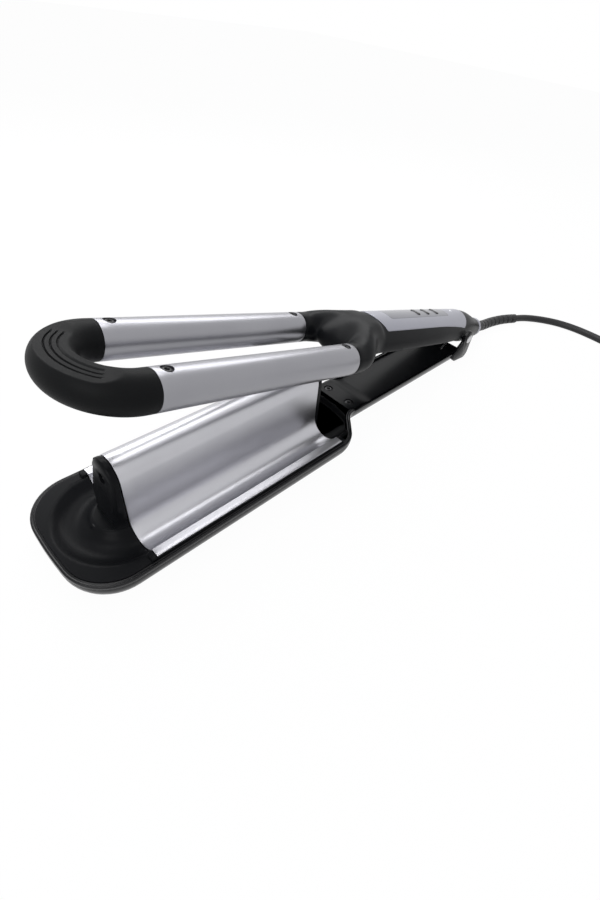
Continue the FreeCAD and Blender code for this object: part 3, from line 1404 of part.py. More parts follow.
def build():
    """All pieces by name, in the frame of the finished part."""
    upper = {
        "upper_housing": upper_housing(),
        "upper_inner_cover": upper_inner_cover(),
        "upper_cover_screws": upper_cover_screws(),
        "control_bezel": control_bezel(),
        "display_window": display_window(),
        "indicator_lens": indicator_lens(),
        "control_board": control_board(),
        "push_switches": push_switches(),
        "barrel_far": barrel(1),
        "barrel_near": barrel(-1),
        "barrel_screws": barrel_screws(),
        "heater_rod_far": heater_rod(1),
        "heater_rod_near": heater_rod(-1),
        "heater_holders": heater_holders(),
        "cool_tip": cool_tip(),
        "upper_leads": upper_leads(),
        "supply_lead": supply_lead(),
        "swivel_collar": swivel_collar(),
    }
    for name, x in BUTTON_PLACES:
        upper[name] = control_button(x)
    lower = {
        "lower_shell": lower_shell(),
        "tray_frame": tray_frame(),
        "lower_liner": lower_liner(),
        "lower_handle_cover": lower_handle_cover(),
        "lower_screws": lower_screws(),
        "wave_plate": wave_plate(),
        "front_ridge_cap": front_ridge_cap(),
        "rear_ridge_cap": rear_ridge_cap(),
        "ridge_spreader": ridge_spreader(),
        "ridge_heater": ridge_heater(),
        "heater_clamps": heater_clamps(),
        "heater_posts": heater_posts(),
        "insulating_pad": insulating_pad(),
        "plate_leads": plate_leads(),
        "hinge_pin": hinge_pin(),
        "pin_cap": pin_cap(),
        "torsion_spring": torsion_spring(),
    }
    pieces = {name: swing_open(shape) for name, shape in upper.items()}
    pieces.update(lower)
    whole = Part.makeCompound(list(pieces.values())).BoundBox
    shift = Vector(-(whole.XMin + whole.XMax) / 2, 0, -whole.ZMin)
    print("hinge", [round(v, 4) for v in (Vector(AXLE_X, 0, AXLE_Z) + shift)])
    print("shift", [round(v, 4) for v in shift])
    swivel = swing_open(swivel_barrel())
    pieces["swivel_barrel"] = swivel
    for shape in pieces.values():
        shape.translate(shift)
    turned = Rotation(Vector(0, 1, 0), OPEN_ANGLE)
    heading = turned.multVec(Vector(1, 0, 0))
    reach = Vector(COLLAR_END + NECK_LENGTH - HINGE_X, 0, 0)
    neck_end = Vector(AXLE_X, 0, AXLE_Z) + turned.multVec(reach) + shift
    print("neck end", [round(v, 3) for v in neck_end], "heading", [round(v, 4) for v in heading])
    pieces["strain_relief"] = strain_relief(neck_end, heading)
    pieces["power_cord"], tube_length = power_cord(neck_end)
    coil_start = route_points(CORD_ROUTE[-1:], neck_end)[0]
    coil, coil_end, coil_heading, coil_length = cord_coil(coil_start)
    pieces["cord_coil"] = coil
    print("cord length in all", round(tube_length + coil_length, 1))
    pieces["coil_tie"] = coil_tie(coil_start)
    pieces["plug_body"] = plug_body(coil_end, coil_heading)
    pieces["plug_pins"] = plug_pins(coil_end, coil_heading)
    return pieces


def main():
    """Write one STEP file for each piece."""
    os.makedirs("parts", exist_ok=True)
    for name, shape in build().items():
        shape.exportStep("parts/" + name + ".step")


main()
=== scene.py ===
"""Looks of a hair waver: a two-barrel fork hinged over a jaw with one tall wave plate.

All shapes are drawn in millimetres in the tool's own frame: x = 0 at the front edge of
the wave plate, z = 0 at the top of its rims. Upper pieces are drawn with the barrels'
front edges at x = 0. Each mesh is then moved to the row frame, in metres, with the upper
pieces set back a little and swung open.
"""

import logging
import math
from dataclasses import dataclass, field
from enum import Enum
from typing import Callable, Iterable, Sequence

import bmesh
import bpy
import numpy as np
from mathutils import Matrix, Vector


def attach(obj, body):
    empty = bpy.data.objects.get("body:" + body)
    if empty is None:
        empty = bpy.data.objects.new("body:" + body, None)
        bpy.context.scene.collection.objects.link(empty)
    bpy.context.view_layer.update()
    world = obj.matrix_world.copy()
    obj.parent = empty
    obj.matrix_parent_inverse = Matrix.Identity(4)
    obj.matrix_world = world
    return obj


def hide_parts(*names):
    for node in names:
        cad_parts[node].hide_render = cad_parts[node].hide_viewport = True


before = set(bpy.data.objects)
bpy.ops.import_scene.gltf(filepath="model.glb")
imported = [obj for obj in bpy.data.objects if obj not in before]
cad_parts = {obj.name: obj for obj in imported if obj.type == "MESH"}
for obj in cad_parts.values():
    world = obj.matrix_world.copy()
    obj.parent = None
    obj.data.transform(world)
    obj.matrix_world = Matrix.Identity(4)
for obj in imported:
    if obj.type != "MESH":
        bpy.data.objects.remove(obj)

LOG = logging.getLogger("waver")
Point = tuple[float, float, float]
Corner = tuple[float, float, float]
MM = 0.001


class Body(Enum):
    """CAD bodies that pieces ride on."""

    CORD = "cord"
    UPPER = "upper_jaw"
    LOWER = "lower_jaw"
    POWER = "power_key"
    PLUS = "plus_key"
    MINUS = "minus_key"


@dataclass(frozen=True)
class Finish:
    """One procedural finish and the record's slot that it belongs to.

    Sizes of grain are in metres and set how fine the noise is.
    """

    slot: str
    dark: tuple[float, float, float]
    light: tuple[float, float, float]
    roughness: float
    spread: float = 0.06
    metallic: float = 0.0
    coat: float = 0.0
    grain: float = 0.0006
    bump: float = 0.04
    stretch: tuple[float, float, float] = (1.0, 1.0, 1.0)
    specular: float = 0.5


@dataclass(frozen=True)
class Finishes:
    """Every finish on the tool."""

    satin_black: Finish = Finish(
        "satin_black", (0.0045, 0.0047, 0.0055), (0.0075, 0.008, 0.009), 0.34, 0.07,
        specular=0.05, grain=0.0005, bump=0.05,
    )
    tip_black: Finish = Finish(
        "satin_black", (0.0055, 0.0057, 0.006), (0.0095, 0.010, 0.0105), 0.46, 0.08,
        specular=0.05, grain=0.0004, bump=0.07,
    )
    gloss_black: Finish = Finish(
        "gloss_black", (0.004, 0.004, 0.005), (0.007, 0.007, 0.008), 0.24, 0.05,
        specular=0.14, coat=0.06, grain=0.003, bump=0.01,
    )
    aluminium: Finish = Finish(
        "heated_aluminium", (0.27, 0.27, 0.292), (0.31, 0.31, 0.332), 0.34, 0.05,
        metallic=1.0, grain=0.0004, bump=0.02, stretch=(0.08, 1.0, 1.0),
    )
    plate: Finish = Finish(
        "heated_aluminium", (0.46, 0.46, 0.49), (0.53, 0.53, 0.56), 0.34, 0.05,
        metallic=1.0, grain=0.0004, bump=0.02, stretch=(0.08, 1.0, 1.0),
    )
    silver: Finish = Finish(
        "silver_trim", (0.27, 0.272, 0.315), (0.31, 0.312, 0.355), 0.38, 0.05,
        metallic=0.55, coat=0.2, grain=0.0003, bump=0.02,
    )
    window: Finish = Finish(
        "dark_window", (0.12, 0.122, 0.145), (0.15, 0.152, 0.175), 0.30, 0.04,
        metallic=0.3, coat=0.4, grain=0.002, bump=0.01,
    )
    button: Finish = Finish(
        "button_black", (0.004, 0.004, 0.005), (0.007, 0.007, 0.008), 0.36, 0.05,
        specular=0.3, grain=0.0004, bump=0.03,
    )
    # Near white on purpose: a painted highlight that stands in for the bright glint on the indicator lens.
    lens: Finish = Finish(
        "clear_lens", (0.80, 0.81, 0.84), (0.92, 0.93, 0.95), 0.18, 0.03, coat=0.5, bump=0.005
    )
    screw: Finish = Finish(
        "black_screw", (0.012, 0.012, 0.013), (0.025, 0.025, 0.027), 0.38, 0.08,
        metallic=0.7, grain=0.0005, bump=0.04,
    )
    steel: Finish = Finish(
        "steel", (0.45, 0.45, 0.46), (0.60, 0.60, 0.61), 0.28, 0.08, metallic=1.0, grain=0.0004, bump=0.02
    )
    spring: Finish = Finish(
        "spring_steel", (0.28, 0.28, 0.29), (0.40, 0.40, 0.41), 0.34, 0.08,
        metallic=1.0, grain=0.0004, bump=0.02,
    )
    board: Finish = Finish(
        "circuit_board", (0.02, 0.12, 0.05), (0.03, 0.18, 0.07), 0.35, 0.06, coat=0.3, grain=0.001
    )
    ceramic: Finish = Finish(
        "ceramic", (0.70, 0.69, 0.65), (0.82, 0.81, 0.77), 0.65, 0.08, grain=0.0006, bump=0.06
    )
    mill: Finish = Finish(
        "plain_aluminium", (0.50, 0.50, 0.52), (0.62, 0.62, 0.64), 0.42, 0.08,
        metallic=1.0, grain=0.0006, bump=0.03, stretch=(0.1, 1.0, 1.0),
    )
    fibre: Finish = Finish(
        "insulation", (0.62, 0.60, 0.52), (0.78, 0.76, 0.68), 0.90, 0.05, grain=0.0008, bump=0.25
    )
    sleeve: Finish = Finish(
        "lead_sleeve", (0.34, 0.02, 0.015), (0.46, 0.03, 0.02), 0.50, 0.06, grain=0.0008
    )
    rubber: Finish = Finish(
        "cord_black", (0.007, 0.007, 0.0075), (0.012, 0.012, 0.013), 0.45, 0.08,
        specular=0.35, grain=0.0007, bump=0.06,
    )
    nickel: Finish = Finish(
        "nickel", (0.58, 0.57, 0.54), (0.72, 0.71, 0.67), 0.20, 0.06, metallic=1.0, bump=0.01
    )


FINISHES = Finishes()


@dataclass(frozen=True)
class ToolSizes:
    """Sizes that several sub-assemblies share, in mm."""

    hinge_x: float = 305.0
    hinge_z: float = 4.25
    setback: float = 4.1
    lift: float = 0.5
    open_angle: float = math.radians(14.46)
    shift_x: float = -162.0768
    shift_z: float = 18.5
    barrel_y: float = 21.3
    barrel_z: float = 4.25
    barrel_r: float = 9.0
    barrel_length: float = 127.0
    plate_length: float = 130.0
    trough_r: float = 10.2
    crest_r: float = 9.8
    crest_z: float = 26.2
    sheet: float = 1.0
    rim_y: float = 35.3


SIZE = ToolSizes()


def to_row(point: Sequence[float], upper: bool) -> Vector:
    """Moves a point from the tool's frame to the row frame.

    Args:
        point: x, y and z in mm.
        upper: whether the point swings open with the upper jaw.

    Returns:
        The point in metres in the row frame.
    """
    x, y, z = point
    if upper:
        dx, dz = x - SIZE.hinge_x, z - SIZE.hinge_z
        c, s = math.cos(SIZE.open_angle), math.sin(SIZE.open_angle)
        x = SIZE.hinge_x + SIZE.setback + dx * c + dz * s
        z = SIZE.hinge_z + SIZE.lift - dx * s + dz * c
    return Vector((x + SIZE.shift_x, y, z + SIZE.shift_z)) * MM


def ramp(value: float, low: float, high: float) -> float:
    """Returns 0 below low, 1 above high and a smooth step between."""
    share = min(max((value - low) / (high - low), 0.0), 1.0)
    return share * share * (3 - 2 * share)


def soft_min(a: float, b: float, width: float) -> float:
    """Returns the smaller value, rounded off where the two are close."""
    share = max(width - abs(a - b), 0.0) / width
    return min(a, b) - share * share * width / 4


class Materials:
    """Makes each finish once, as a node material on Object coordinates."""

    def __init__(self) -> None:
        """Starts with no material made."""
        self._made: dict[Finish, bpy.types.Material] = {}

    def get(self, finish: Finish) -> bpy.types.Material:
        """Returns the material of a finish.

        Args:
            finish: the finish to make.

        Returns:
            The node material.
        """
        if finish not in self._made:
            self._made[finish] = self._make(finish)
        return self._made[finish]

    def _make(self, finish: Finish) -> bpy.types.Material:
        """Builds the nodes of one finish."""
        material = bpy.data.materials.new(f"{finish.slot}_{len(self._made)}")
        material.use_nodes = True
        nodes, links = material.node_tree.nodes, material.node_tree.links
        shader = nodes["Principled BSDF"]
        shader.inputs["Metallic"].default_value = finish.metallic
        shader.inputs["Specular IOR Level"].default_value = finish.specular
        shader.inputs["Coat Weight"].default_value = finish.coat
        shader.inputs["Coat Roughness"].default_value = 0.15
        place = nodes.new("ShaderNodeTexCoord")
        mapping = nodes.new("ShaderNodeMapping")
        mapping.inputs["Scale"].default_value = finish.stretch
        links.new(place.outputs["Object"], mapping.inputs["Vector"])
        fine = nodes.new("ShaderNodeTexNoise")
        fine.inputs["Scale"].default_value = 1.0 / finish.grain
        fine.inputs["Detail"].default_value = 4.0
        links.new(mapping.outputs["Vector"], fine.inputs["Vector"])
        broad = nodes.new("ShaderNodeTexNoise")
        broad.inputs["Scale"].default_value = 45.0
        broad.inputs["Detail"].default_value = 3.0
        links.new(place.outputs["Object"], broad.inputs["Vector"])
        colour = nodes.new("ShaderNodeMix")
        colour.data_type = "RGBA"
        colour.inputs["A"].default_value = (*finish.dark, 1.0)
        colour.inputs["B"].default_value = (*finish.light, 1.0)
        links.new(broad.outputs["Fac"], colour.inputs["Factor"])
        links.new(colour.outputs["Result"], shader.inputs["Base Color"])
        rough = nodes.new("ShaderNodeMapRange")
        rough.inputs["To Min"].default_value = finish.roughness - finish.spread
        rough.inputs["To Max"].default_value = finish.roughness + finish.spread
        links.new(fine.outputs["Fac"], rough.inputs["Value"])
        links.new(rough.outputs["Result"], shader.inputs["Roughness"])
        bump = nodes.new("ShaderNodeBump")
        bump.inputs["Strength"].default_value = finish.bump
        bump.inputs["Distance"].default_value = 0.0002
        links.new(fine.outputs["Fac"], bump.inputs["Height"])
        links.new(bump.outputs["Normal"], shader.inputs["Normal"])
        return material


MATERIALS = Materials()


@dataclass
class Piece:
    """One finished piece: a mesh in the tool's frame and what it stands for."""

    name: str
    body: Body
    finish: Finish
    upper: bool
    replaces: tuple[str, ...] = ()
    sharp: float = 32.0

    def make(self, bm: bmesh.types.BMesh, carve: Iterable[bmesh.types.BMesh] = ()) -> bpy.types.Object:
        """Turns a bmesh into the object that rides on its body.

        Args:
            bm: the mesh in mm, in the tool's frame.
            carve: closed cutters in the same frame.

        Returns:
            The object at the origin, its place in its mesh.
        """
        obj = self._object(self.name, bm)
        for index, cutter in enumerate(carve):
            tool = self._object(f"{self.name}_cut{index}", cutter)
            boolean = obj.modifiers.new("cut", "BOOLEAN")
            boolean.operation = "DIFFERENCE"
            boolean.solver = "EXACT"
            boolean.object = tool
            obj.data = self.evaluated(obj)
            obj.modifiers.clear()
            bpy.data.objects.remove(tool)
        mesh = obj.data
        mesh.materials.clear()
        mesh.materials.append(MATERIALS.get(self.finish))
        mesh.shade_smooth()
        mesh.set_sharp_from_angle(angle=math.radians(self.sharp))
        if self.replaces:
            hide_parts(*self.replaces)
        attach(obj, self.body.value)
        LOG.info("%s: %d faces", self.name, len(mesh.polygons))
        return obj

    def _object(self, name: str, bm: bmesh.types.BMesh) -> bpy.types.Object:
        """Moves a bmesh to the row frame and links it."""
        for vert in bm.verts:
            vert.co = to_row(vert.co, self.upper)
        bmesh.ops.recalc_face_normals(bm, faces=bm.faces)
        mesh = bpy.data.meshes.new(name)
        bm.to_mesh(mesh)
        bm.free()
        obj = bpy.data.objects.new(name, mesh)
        bpy.context.scene.collection.objects.link(obj)
        return obj

    @staticmethod
    def evaluated(obj: bpy.types.Object) -> bpy.types.Mesh:
        """Applies an object's modifiers to a new mesh."""
        bpy.context.view_layer.update()
        graph = bpy.context.evaluated_depsgraph_get()
        return bpy.data.meshes.new_from_object(obj.evaluated_get(graph))


def add_loft(
    bm: bmesh.types.BMesh, rings: Sequence[Sequence[Sequence[float]]], caps: bool = True, closed: bool = True
) -> None:
    """Adds a skin through rings of equal length.

    Args:
        bm: the mesh to add to.
        rings: the rings' points, in order.
        caps: whether the first and last ring get a face.
        closed: whether each ring is a loop.
    """
    rows = [[bm.verts.new(p) for p in ring] for ring in rings]
    count = len(rows[0])
    for a, b in zip(rows, rows[1:]):
        for i in range(count if closed else count - 1):
            j = (i + 1) % count
            bm.faces.new((a[i], a[j], b[j], b[i]))
    if caps:
        bm.faces.new(rows[0])
        bm.faces.new(rows[-1])


def add_turned(
    bm: bmesh.types.BMesh,
    centre: Sequence[float],
    axis: Sequence[float],
    profile: Sequence[tuple[float, float]],
    segments: int = 48,
) -> None:
    """Adds a turned form: a closed skin round an axis through (distance, radius) points.

    Args:
        bm: the mesh to add to.
        centre: the axis's start in mm.
        axis: its direction.
        profile: distance along the axis and radius, from one end to the other.
        segments: the faces around.
    """
    along = Vector(axis).normalized()
    side = along.orthogonal().normalized()
    up = along.cross(side)
    start = Vector(centre)
    rings = []
    for distance, radius in profile:
        ring = []
        for i in range(segments):
            turn = 2 * math.pi * i / segments
            around = side * math.cos(turn) + up * math.sin(turn)
            ring.append(start + along * distance + around * max(radius, 0.01))
        rings.append(ring)
    add_loft(bm, rings)


def cylinder(
    centre: Sequence[float], axis: Sequence[float], length: float, radius: float, segments: int = 48
) -> bmesh.types.BMesh:
    """Returns a bmesh cylinder, mostly for carving."""
    bm = bmesh.new()
    add_turned(bm, centre, axis, [(0.0, radius), (length, radius)], segments)
    return bm


def block(low: Sequence[float], high: Sequence[float]) -> bmesh.types.BMesh:
    """Returns a bmesh block, mostly for carving."""
    bm = bmesh.new()
    bmesh.ops.create_cube(bm, size=1.0)
    for vert in bm.verts:
        vert.co = Vector(low[i] + (vert.co[i] + 0.5) * (high[i] - low[i]) for i in range(3))
    return bm


def outline(corners: Sequence[Corner], arc: int = 10, straight: int = 12) -> list[tuple[float, float]]:
    """Samples a closed outline whose corners are rounded by tangent arcs.

    Args:
        corners: x, y and rounding radius of each corner.
        arc: points on each arc.
        straight: points on each straight run.

    Returns:
        The same number of points whatever the radii.
    """
    count = len(corners)
    arcs = []
    for i in range(count):
        here = Vector(corners[i][:2])
        incoming = (here - Vector(corners[i - 1][:2])).normalized()
        outgoing = (Vector(corners[(i + 1) % count][:2]) - here).normalized()
        turn = incoming.angle(outgoing, 0.0)
        radius = corners[i][2]
        reach = radius * math.tan(turn / 2)
        side = Vector((-incoming.y, incoming.x))
        if side.dot(outgoing) < 0:
            side.negate()
        centre = here - incoming * reach + side * radius
        points = []
        for k in range(arc):
            angle = turn * k / (arc - 1)
            points.append(centre - side * radius * math.cos(angle) + incoming * radius * math.sin(angle))
        arcs.append(points)
    found = []
    for i in range(count):
        found += arcs[i]
        start, end = arcs[i][-1], arcs[(i + 1) % count][0]
        for k in range(1, straight + 1):
            found.append(start.lerp(end, k / (straight + 1)))
    return [(p.x, p.y) for p in found]


class Table:
    """Rows of numbers read smoothly at any x, with no overshoot between rows."""

    def __init__(self, rows: Sequence[Sequence[float]]) -> None:
        """Works out a slope at each row.

        Args:
            rows: x first, then the values at that x.
        """
        data = np.array(rows, float)
        self.x = data[:, 0]
        self.y = data[:, 1:]
        run = np.diff(self.x)[:, None]
        rise = np.diff(self.y, axis=0) / run
        slope = np.zeros_like(self.y)
        slope[0], slope[-1] = rise[0], rise[-1]
        same = rise[1:] * rise[:-1] > 0
        both = np.where(same, 2 * rise[1:] * rise[:-1] / np.where(same, rise[1:] + rise[:-1], 1.0), 0.0)
        slope[1:-1] = both
        self.slope = slope

    def at(self, x: float) -> np.ndarray:
        """Returns the row's other values at x."""
        i = int(np.clip(np.searchsorted(self.x, x) - 1, 0, len(self.x) - 2))
        run = self.x[i + 1] - self.x[i]
        t = min(max((x - self.x[i]) / run, 0.0), 1.0)
        a, b = self.y[i], self.y[i + 1]
        h = t * t * (3 - 2 * t)
        return (
            a * (1 - h) + b * h
            + run * (t * (1 - t) ** 2 * self.slope[i] - t * t * (1 - t) * self.slope[i + 1])
        )


HANDLE = Table((
    (134.5, 7.0, 4.3, 4.0, 4.0),
    (136.0, 11.5, 4.3, 6.4, 6.4),
    (141.0, 16.0, 4.5, 9.6, 7.3),
    (148.0, 19.0, 4.6, 12.8, 6.2),
    (156.0, 19.6, 4.0, 15.8, 3.2),
    (166.0, 19.2, 3.2, 17.5, 1.5),
    (185.0, 19.0, 3.0, 17.8, 1.2),
    (250.0, 18.6, 3.0, 17.8, 1.2),
    (290.0, 16.6, 3.0, 17.8, 1.3),
    (299.0, 15.8, 3.0, 17.8, 5.6),
    (306.0, 15.2, 3.1, 17.6, 7.2),
    (315.0, 14.2, 3.3, 16.7, 7.6),
    (328.0, 12.2, 3.8, 13.6, 7.8),
    (340.0, 10.0, 4.15, 10.2, 8.0),
    (350.0, 8.4, 4.15, 8.4, 8.4),
))
LEG = Table((
    (127.2, 1.0, 9.0, 4.25, 9.0, 9.0),
    (134.0, 1.0, 9.0, 4.25, 9.0, 9.0),
    (141.0, 0.91, 10.8, 4.6, 10.5, 9.3),
    (148.0, 0.70, 12.2, 4.9, 12.7, 7.6),
    (156.0, 0.47, 11.4, 4.3, 15.1, 5.6),
    (168.0, 0.36, 10.8, 3.4, 16.9, 2.8),
))


def oval(
    x: float, y: float, half: float, z: float, rise: float, drop: float, count: int = 72
) -> list[Point]:
    """Returns an oval ring across X with its own rise and drop."""
    ring = []
    for i in range(count):
        turn = 2 * math.pi * i / count
        high = math.sin(turn)
        ring.append((x, y + half * math.cos(turn), z + (rise if high > 0 else drop) * high))
    return ring


def handle_height(x: float, y: float) -> float:
    """Returns the height of the upper handle's top at a place."""
    half, centre, rise, _ = HANDLE.at(x)
    return float(centre + rise * math.sqrt(max(1 - (y / half) ** 2, 0.0)))


@dataclass
class ForkHandle:
    """The fork and handle in one moulding, blended where its legs meet."""

    voxel: float = 0.9
    blend_from: float = 131.0
    blend_to: float = 172.0
    blend_rise: float = 12.0
    blend_fall: float = 10.0
    kept_ends: tuple[float, float] = (127.6, 349.4)
    passes: int = 60
    light_passes: int = 4

    def build(self) -> None:
        """Makes the moulding, its inner cover's pocket and the cover's screws."""
        bm = bmesh.new()
        add_loft(bm, [oval(x, 0.0, *HANDLE.at(x)) for x in np.arange(134.5, 350.01, 1.99)])
        for side in (1, -1):
            rings = []
            for x in np.arange(127.2, 168.01, 1.7):
                share, half, z, rise, drop = LEG.at(x)
                rings.append(oval(x, side * share * SIZE.barrel_y, half, z, rise, drop))
            add_loft(bm, rings)
        piece = Piece(
            "fork_and_handle", Body.UPPER, FINISHES.satin_black, True,
            ("upper_housing",), sharp=50.0,
        )
        solid = self._blended(bm)
        cutters = [block((169.0, -15.6, -9.0), (292.0, 15.6, 3.0)), self._spring_room()]
        piece.make(solid, cutters)
        self._cover()

    def _blended(self, bm: bmesh.types.BMesh) -> bmesh.types.BMesh:
        """Joins overlapping forms into one skin and smooths where they meet."""
        bmesh.ops.recalc_face_normals(bm, faces=bm.faces)
        mesh = bpy.data.meshes.new("blend")
        bm.to_mesh(mesh)
        bm.free()
        obj = bpy.data.objects.new("blend", mesh)
        bpy.context.scene.collection.objects.link(obj)
        remesh = obj.modifiers.new("skin", "REMESH")
        remesh.mode = "VOXEL"
        remesh.voxel_size = self.voxel
        skin = Piece.evaluated(obj)
        bpy.data.objects.remove(obj)
        self._smooth(skin)
        out = bmesh.new()
        out.from_mesh(skin)
        return out

    def _smooth(self, mesh: bpy.types.Mesh) -> None:
        """Averages neighbours, most where the legs join the handle."""
        count = len(mesh.vertices)
        place = np.zeros(count * 3)
        mesh.vertices.foreach_get("co", place)
        place = place.reshape(-1, 3)
        pairs = np.zeros(len(mesh.edges) * 2, int)
        mesh.edges.foreach_get("vertices", pairs)
        pairs = pairs.reshape(-1, 2)
        degree = np.zeros(count)
        np.add.at(degree, pairs[:, 0], 1)
        np.add.at(degree, pairs[:, 1], 1)
        x = place[:, 0]
        rise = np.clip((x - self.blend_from) / self.blend_rise, 0, 1)
        fall = np.clip((self.blend_to - x) / self.blend_fall, 0, 1)
        blend = np.minimum(rise, fall)[:, None]
        first, last = self.kept_ends
        ends = np.minimum(np.clip(x - first, 0, 1), np.clip(last - x, 0, 1))[:, None]
        for turn in range(self.passes):
            total = np.zeros_like(place)
            np.add.at(total, pairs[:, 0], place[pairs[:, 1]])
            np.add.at(total, pairs[:, 1], place[pairs[:, 0]])
            mean = total / degree[:, None]
            weight = 0.5 * (blend if turn >= self.light_passes else ends)
            place = place + (mean - place) * weight
        mesh.vertices.foreach_set("co", place.ravel())

    @staticmethod
    def _spring_room() -> bmesh.types.BMesh:
        """Returns the cutter for the opening under the hinge spring."""
        return block((293.0, -8.6, -9.0), (313.0, 8.6, 6.0))

    def _cover(self) -> None:
        """Makes the flat cover under the handle and its two screws."""
        bm = bmesh.new()
        corners = [(170.2, -15.2, 2.0), (290.8, -15.2, 2.0), (290.8, 15.2, 2.0), (170.2, 15.2, 2.0)]
        rings = []
        for inset, z in ((0.0, 2.9), (0.0, 2.2), (0.3, 1.95), (6.0, 1.9)):
            moved = [
                (x + math.copysign(inset, 230 - x), y - math.copysign(inset, y), r)
                for x, y, r in corners
            ]
            rings.append([(x, y, z) for x, y in outline(moved, 6, 8)])
        add_loft(bm, rings)
        Piece("handle_underside", Body.UPPER, FINISHES.satin_black, True, ("upper_inner_cover",)).make(bm)
        bm = bmesh.new()
        for x in (178.0, 283.0):
            add_screw(bm, (x, 0.0, 1.75), (0, 0, -1), 2.8)
        Piece("underside_screws", Body.UPPER, FINISHES.screw, True, ("upper_cover_screws",)).make(bm)


def add_screw(bm: bmesh.types.BMesh, centre: Sequence[float], axis: Sequence[float], radius: float) -> None:
    """Adds a pan-head screw with a round socket; centre is the middle of its top.

    Args:
        bm: the mesh to add to.
        centre: the top's centre in mm.
        axis: outward direction.
        radius: the head's radius.
    """
    along = Vector(axis).normalized()
    base = Vector(centre) - along * 1.6
    profile = [
        (0.0, radius * 0.6), (0.0, radius), (0.9, radius), (1.3, radius * 0.93), (1.55, radius * 0.78),
        (1.6, radius * 0.5), (1.45, radius * 0.46), (0.7, radius * 0.42), (0.6, 0.0),
    ]
    add_turned(bm, base, along, profile, 36)


@dataclass
class Barrels:
    """Two heated barrels with recessed screws, and the cool tip that joins them."""

    screw_x: tuple[float, float] = (6.0, 121.0)
    screw_radius: float = 2.3
    recess_radius: float = 2.8
    facet: float = 7.3
    groove_places: tuple[float, ...] = (-1.5, 0.9, 3.2)
    groove_depth: float = 0.7
    groove_half: float = 0.42
    grip_angle: float = math.radians(52)

    def build(self) -> None:
        """Makes the barrels, their screws and the tip."""
        for name, side in (("barrel_far", 1), ("barrel_near", -1)):
            self._barrel(name, side)
        bm = bmesh.new()
        for x in self.screw_x:
            for side in (1, -1):
                top = SIZE.barrel_z + SIZE.barrel_r - 0.45
                add_screw(bm, (x, side * SIZE.barrel_y, top), (0, 0, 1), self.screw_radius)
        Piece("barrel_screw_heads", Body.UPPER, FINISHES.screw, True, ("barrel_screws",)).make(bm)
        self._tip()

    def _barrel(self, name: str, side: int) -> None:
        """Makes one barrel with rolled edges and two screw recesses."""
        r, length = SIZE.barrel_r, SIZE.barrel_length
        bm = bmesh.new()
        stations = [(0.0, r - 1.5), (0.0, r - 0.35), (0.12, r - 0.1), (0.35, r)]
        stations += [(length * k / 24, r) for k in range(1, 24)]
        stations += [(length - 0.35, r), (length - 0.12, r - 0.1), (length, r - 0.35), (length, r - 1.5)]
        add_turned(bm, (0.0, side * SIZE.barrel_y, SIZE.barrel_z), (1, 0, 0), stations, 96)
        cutters = [
            cylinder((x, side * SIZE.barrel_y, SIZE.barrel_z + r - 1.5), (0, 0, 1), 4.0, self.recess_radius)
            for x in self.screw_x
        ]
        Piece(f"heated_{name}", Body.UPPER, FINISHES.aluminium, True, (name,)).make(bm, cutters)

    def _tip(self) -> None:
        """Makes the U-shaped tip by sweeping its section round the bend."""
        bm = bmesh.new()
        rings = []
        around = self._turns()
        path: list[tuple[float, float, float]] = []
        straight = 3.0 - 0.25
        for k in range(5):
            path.append((-0.25 - straight * k / 5, -SIZE.barrel_y, math.pi / 2))
        steps = 120
        for k in range(steps + 1):
            angle = math.pi / 2 - math.pi * k / steps
            path.append((-3.0 - SIZE.barrel_y * math.cos(angle), -SIZE.barrel_y * math.sin(angle), angle))
        for k in range(4, -1, -1):
            path.append((-0.25 - straight * k / 5, SIZE.barrel_y, -math.pi / 2))
        for x, y, angle in path:
            outward = Vector((-math.cos(angle), -math.sin(angle), 0.0))
            ring = []
            for turn in around:
                across, high = self._section(turn, angle)
                ring.append(Vector((x, y, SIZE.barrel_z)) + outward * across + Vector((0, 0, high)))
            rings.append(ring)
        first = [Vector((p.x + 0.2, p.y, p.z)) for p in self._shrunk(rings[0])]
        last = [Vector((p.x + 0.2, p.y, p.z)) for p in self._shrunk(rings[-1])]
        add_loft(bm, [first] + rings + [last])
        Piece("cool_touch_tip", Body.UPPER, FINISHES.tip_black, True, ("cool_tip",), sharp=60.0).make(bm)

    @staticmethod
    def _shrunk(ring: Sequence[Vector]) -> list[Vector]:
        """Returns a ring drawn in a little towards its centre."""
        centre = sum(ring, Vector()) / len(ring)
        return [centre + (p - centre) * 0.97 for p in ring]

    @staticmethod
    def _turns() -> list[float]:
        """Returns the section's angles, close together over the grip."""
        top = np.linspace(math.radians(20), math.radians(100), 150)
        rest = np.linspace(math.radians(100), math.radians(380), 80)[1:-1]
        return list(top) + list(rest)

    def _section(self, turn: float, angle: float) -> tuple[float, float]:
        """Returns the outward and upward offsets at one place of the section."""
        r = SIZE.barrel_r - 0.02
        across, high = r * math.cos(turn), r * math.sin(turn)
        if high > 0:
            lift = ramp(abs(angle), math.radians(45), math.radians(84))
            limit = self.facet - 0.13 * (across + 3.0) + 3.4 * lift
            high = soft_min(high, limit, 0.25)
            along = 1 - ramp(abs(angle), self.grip_angle - 0.05, self.grip_angle)
            for place in self.groove_places:
                near = abs(across - place) / self.groove_half
                if near < 1:
                    high -= self.groove_depth * along * (1 - near ** 2)
        return across, high


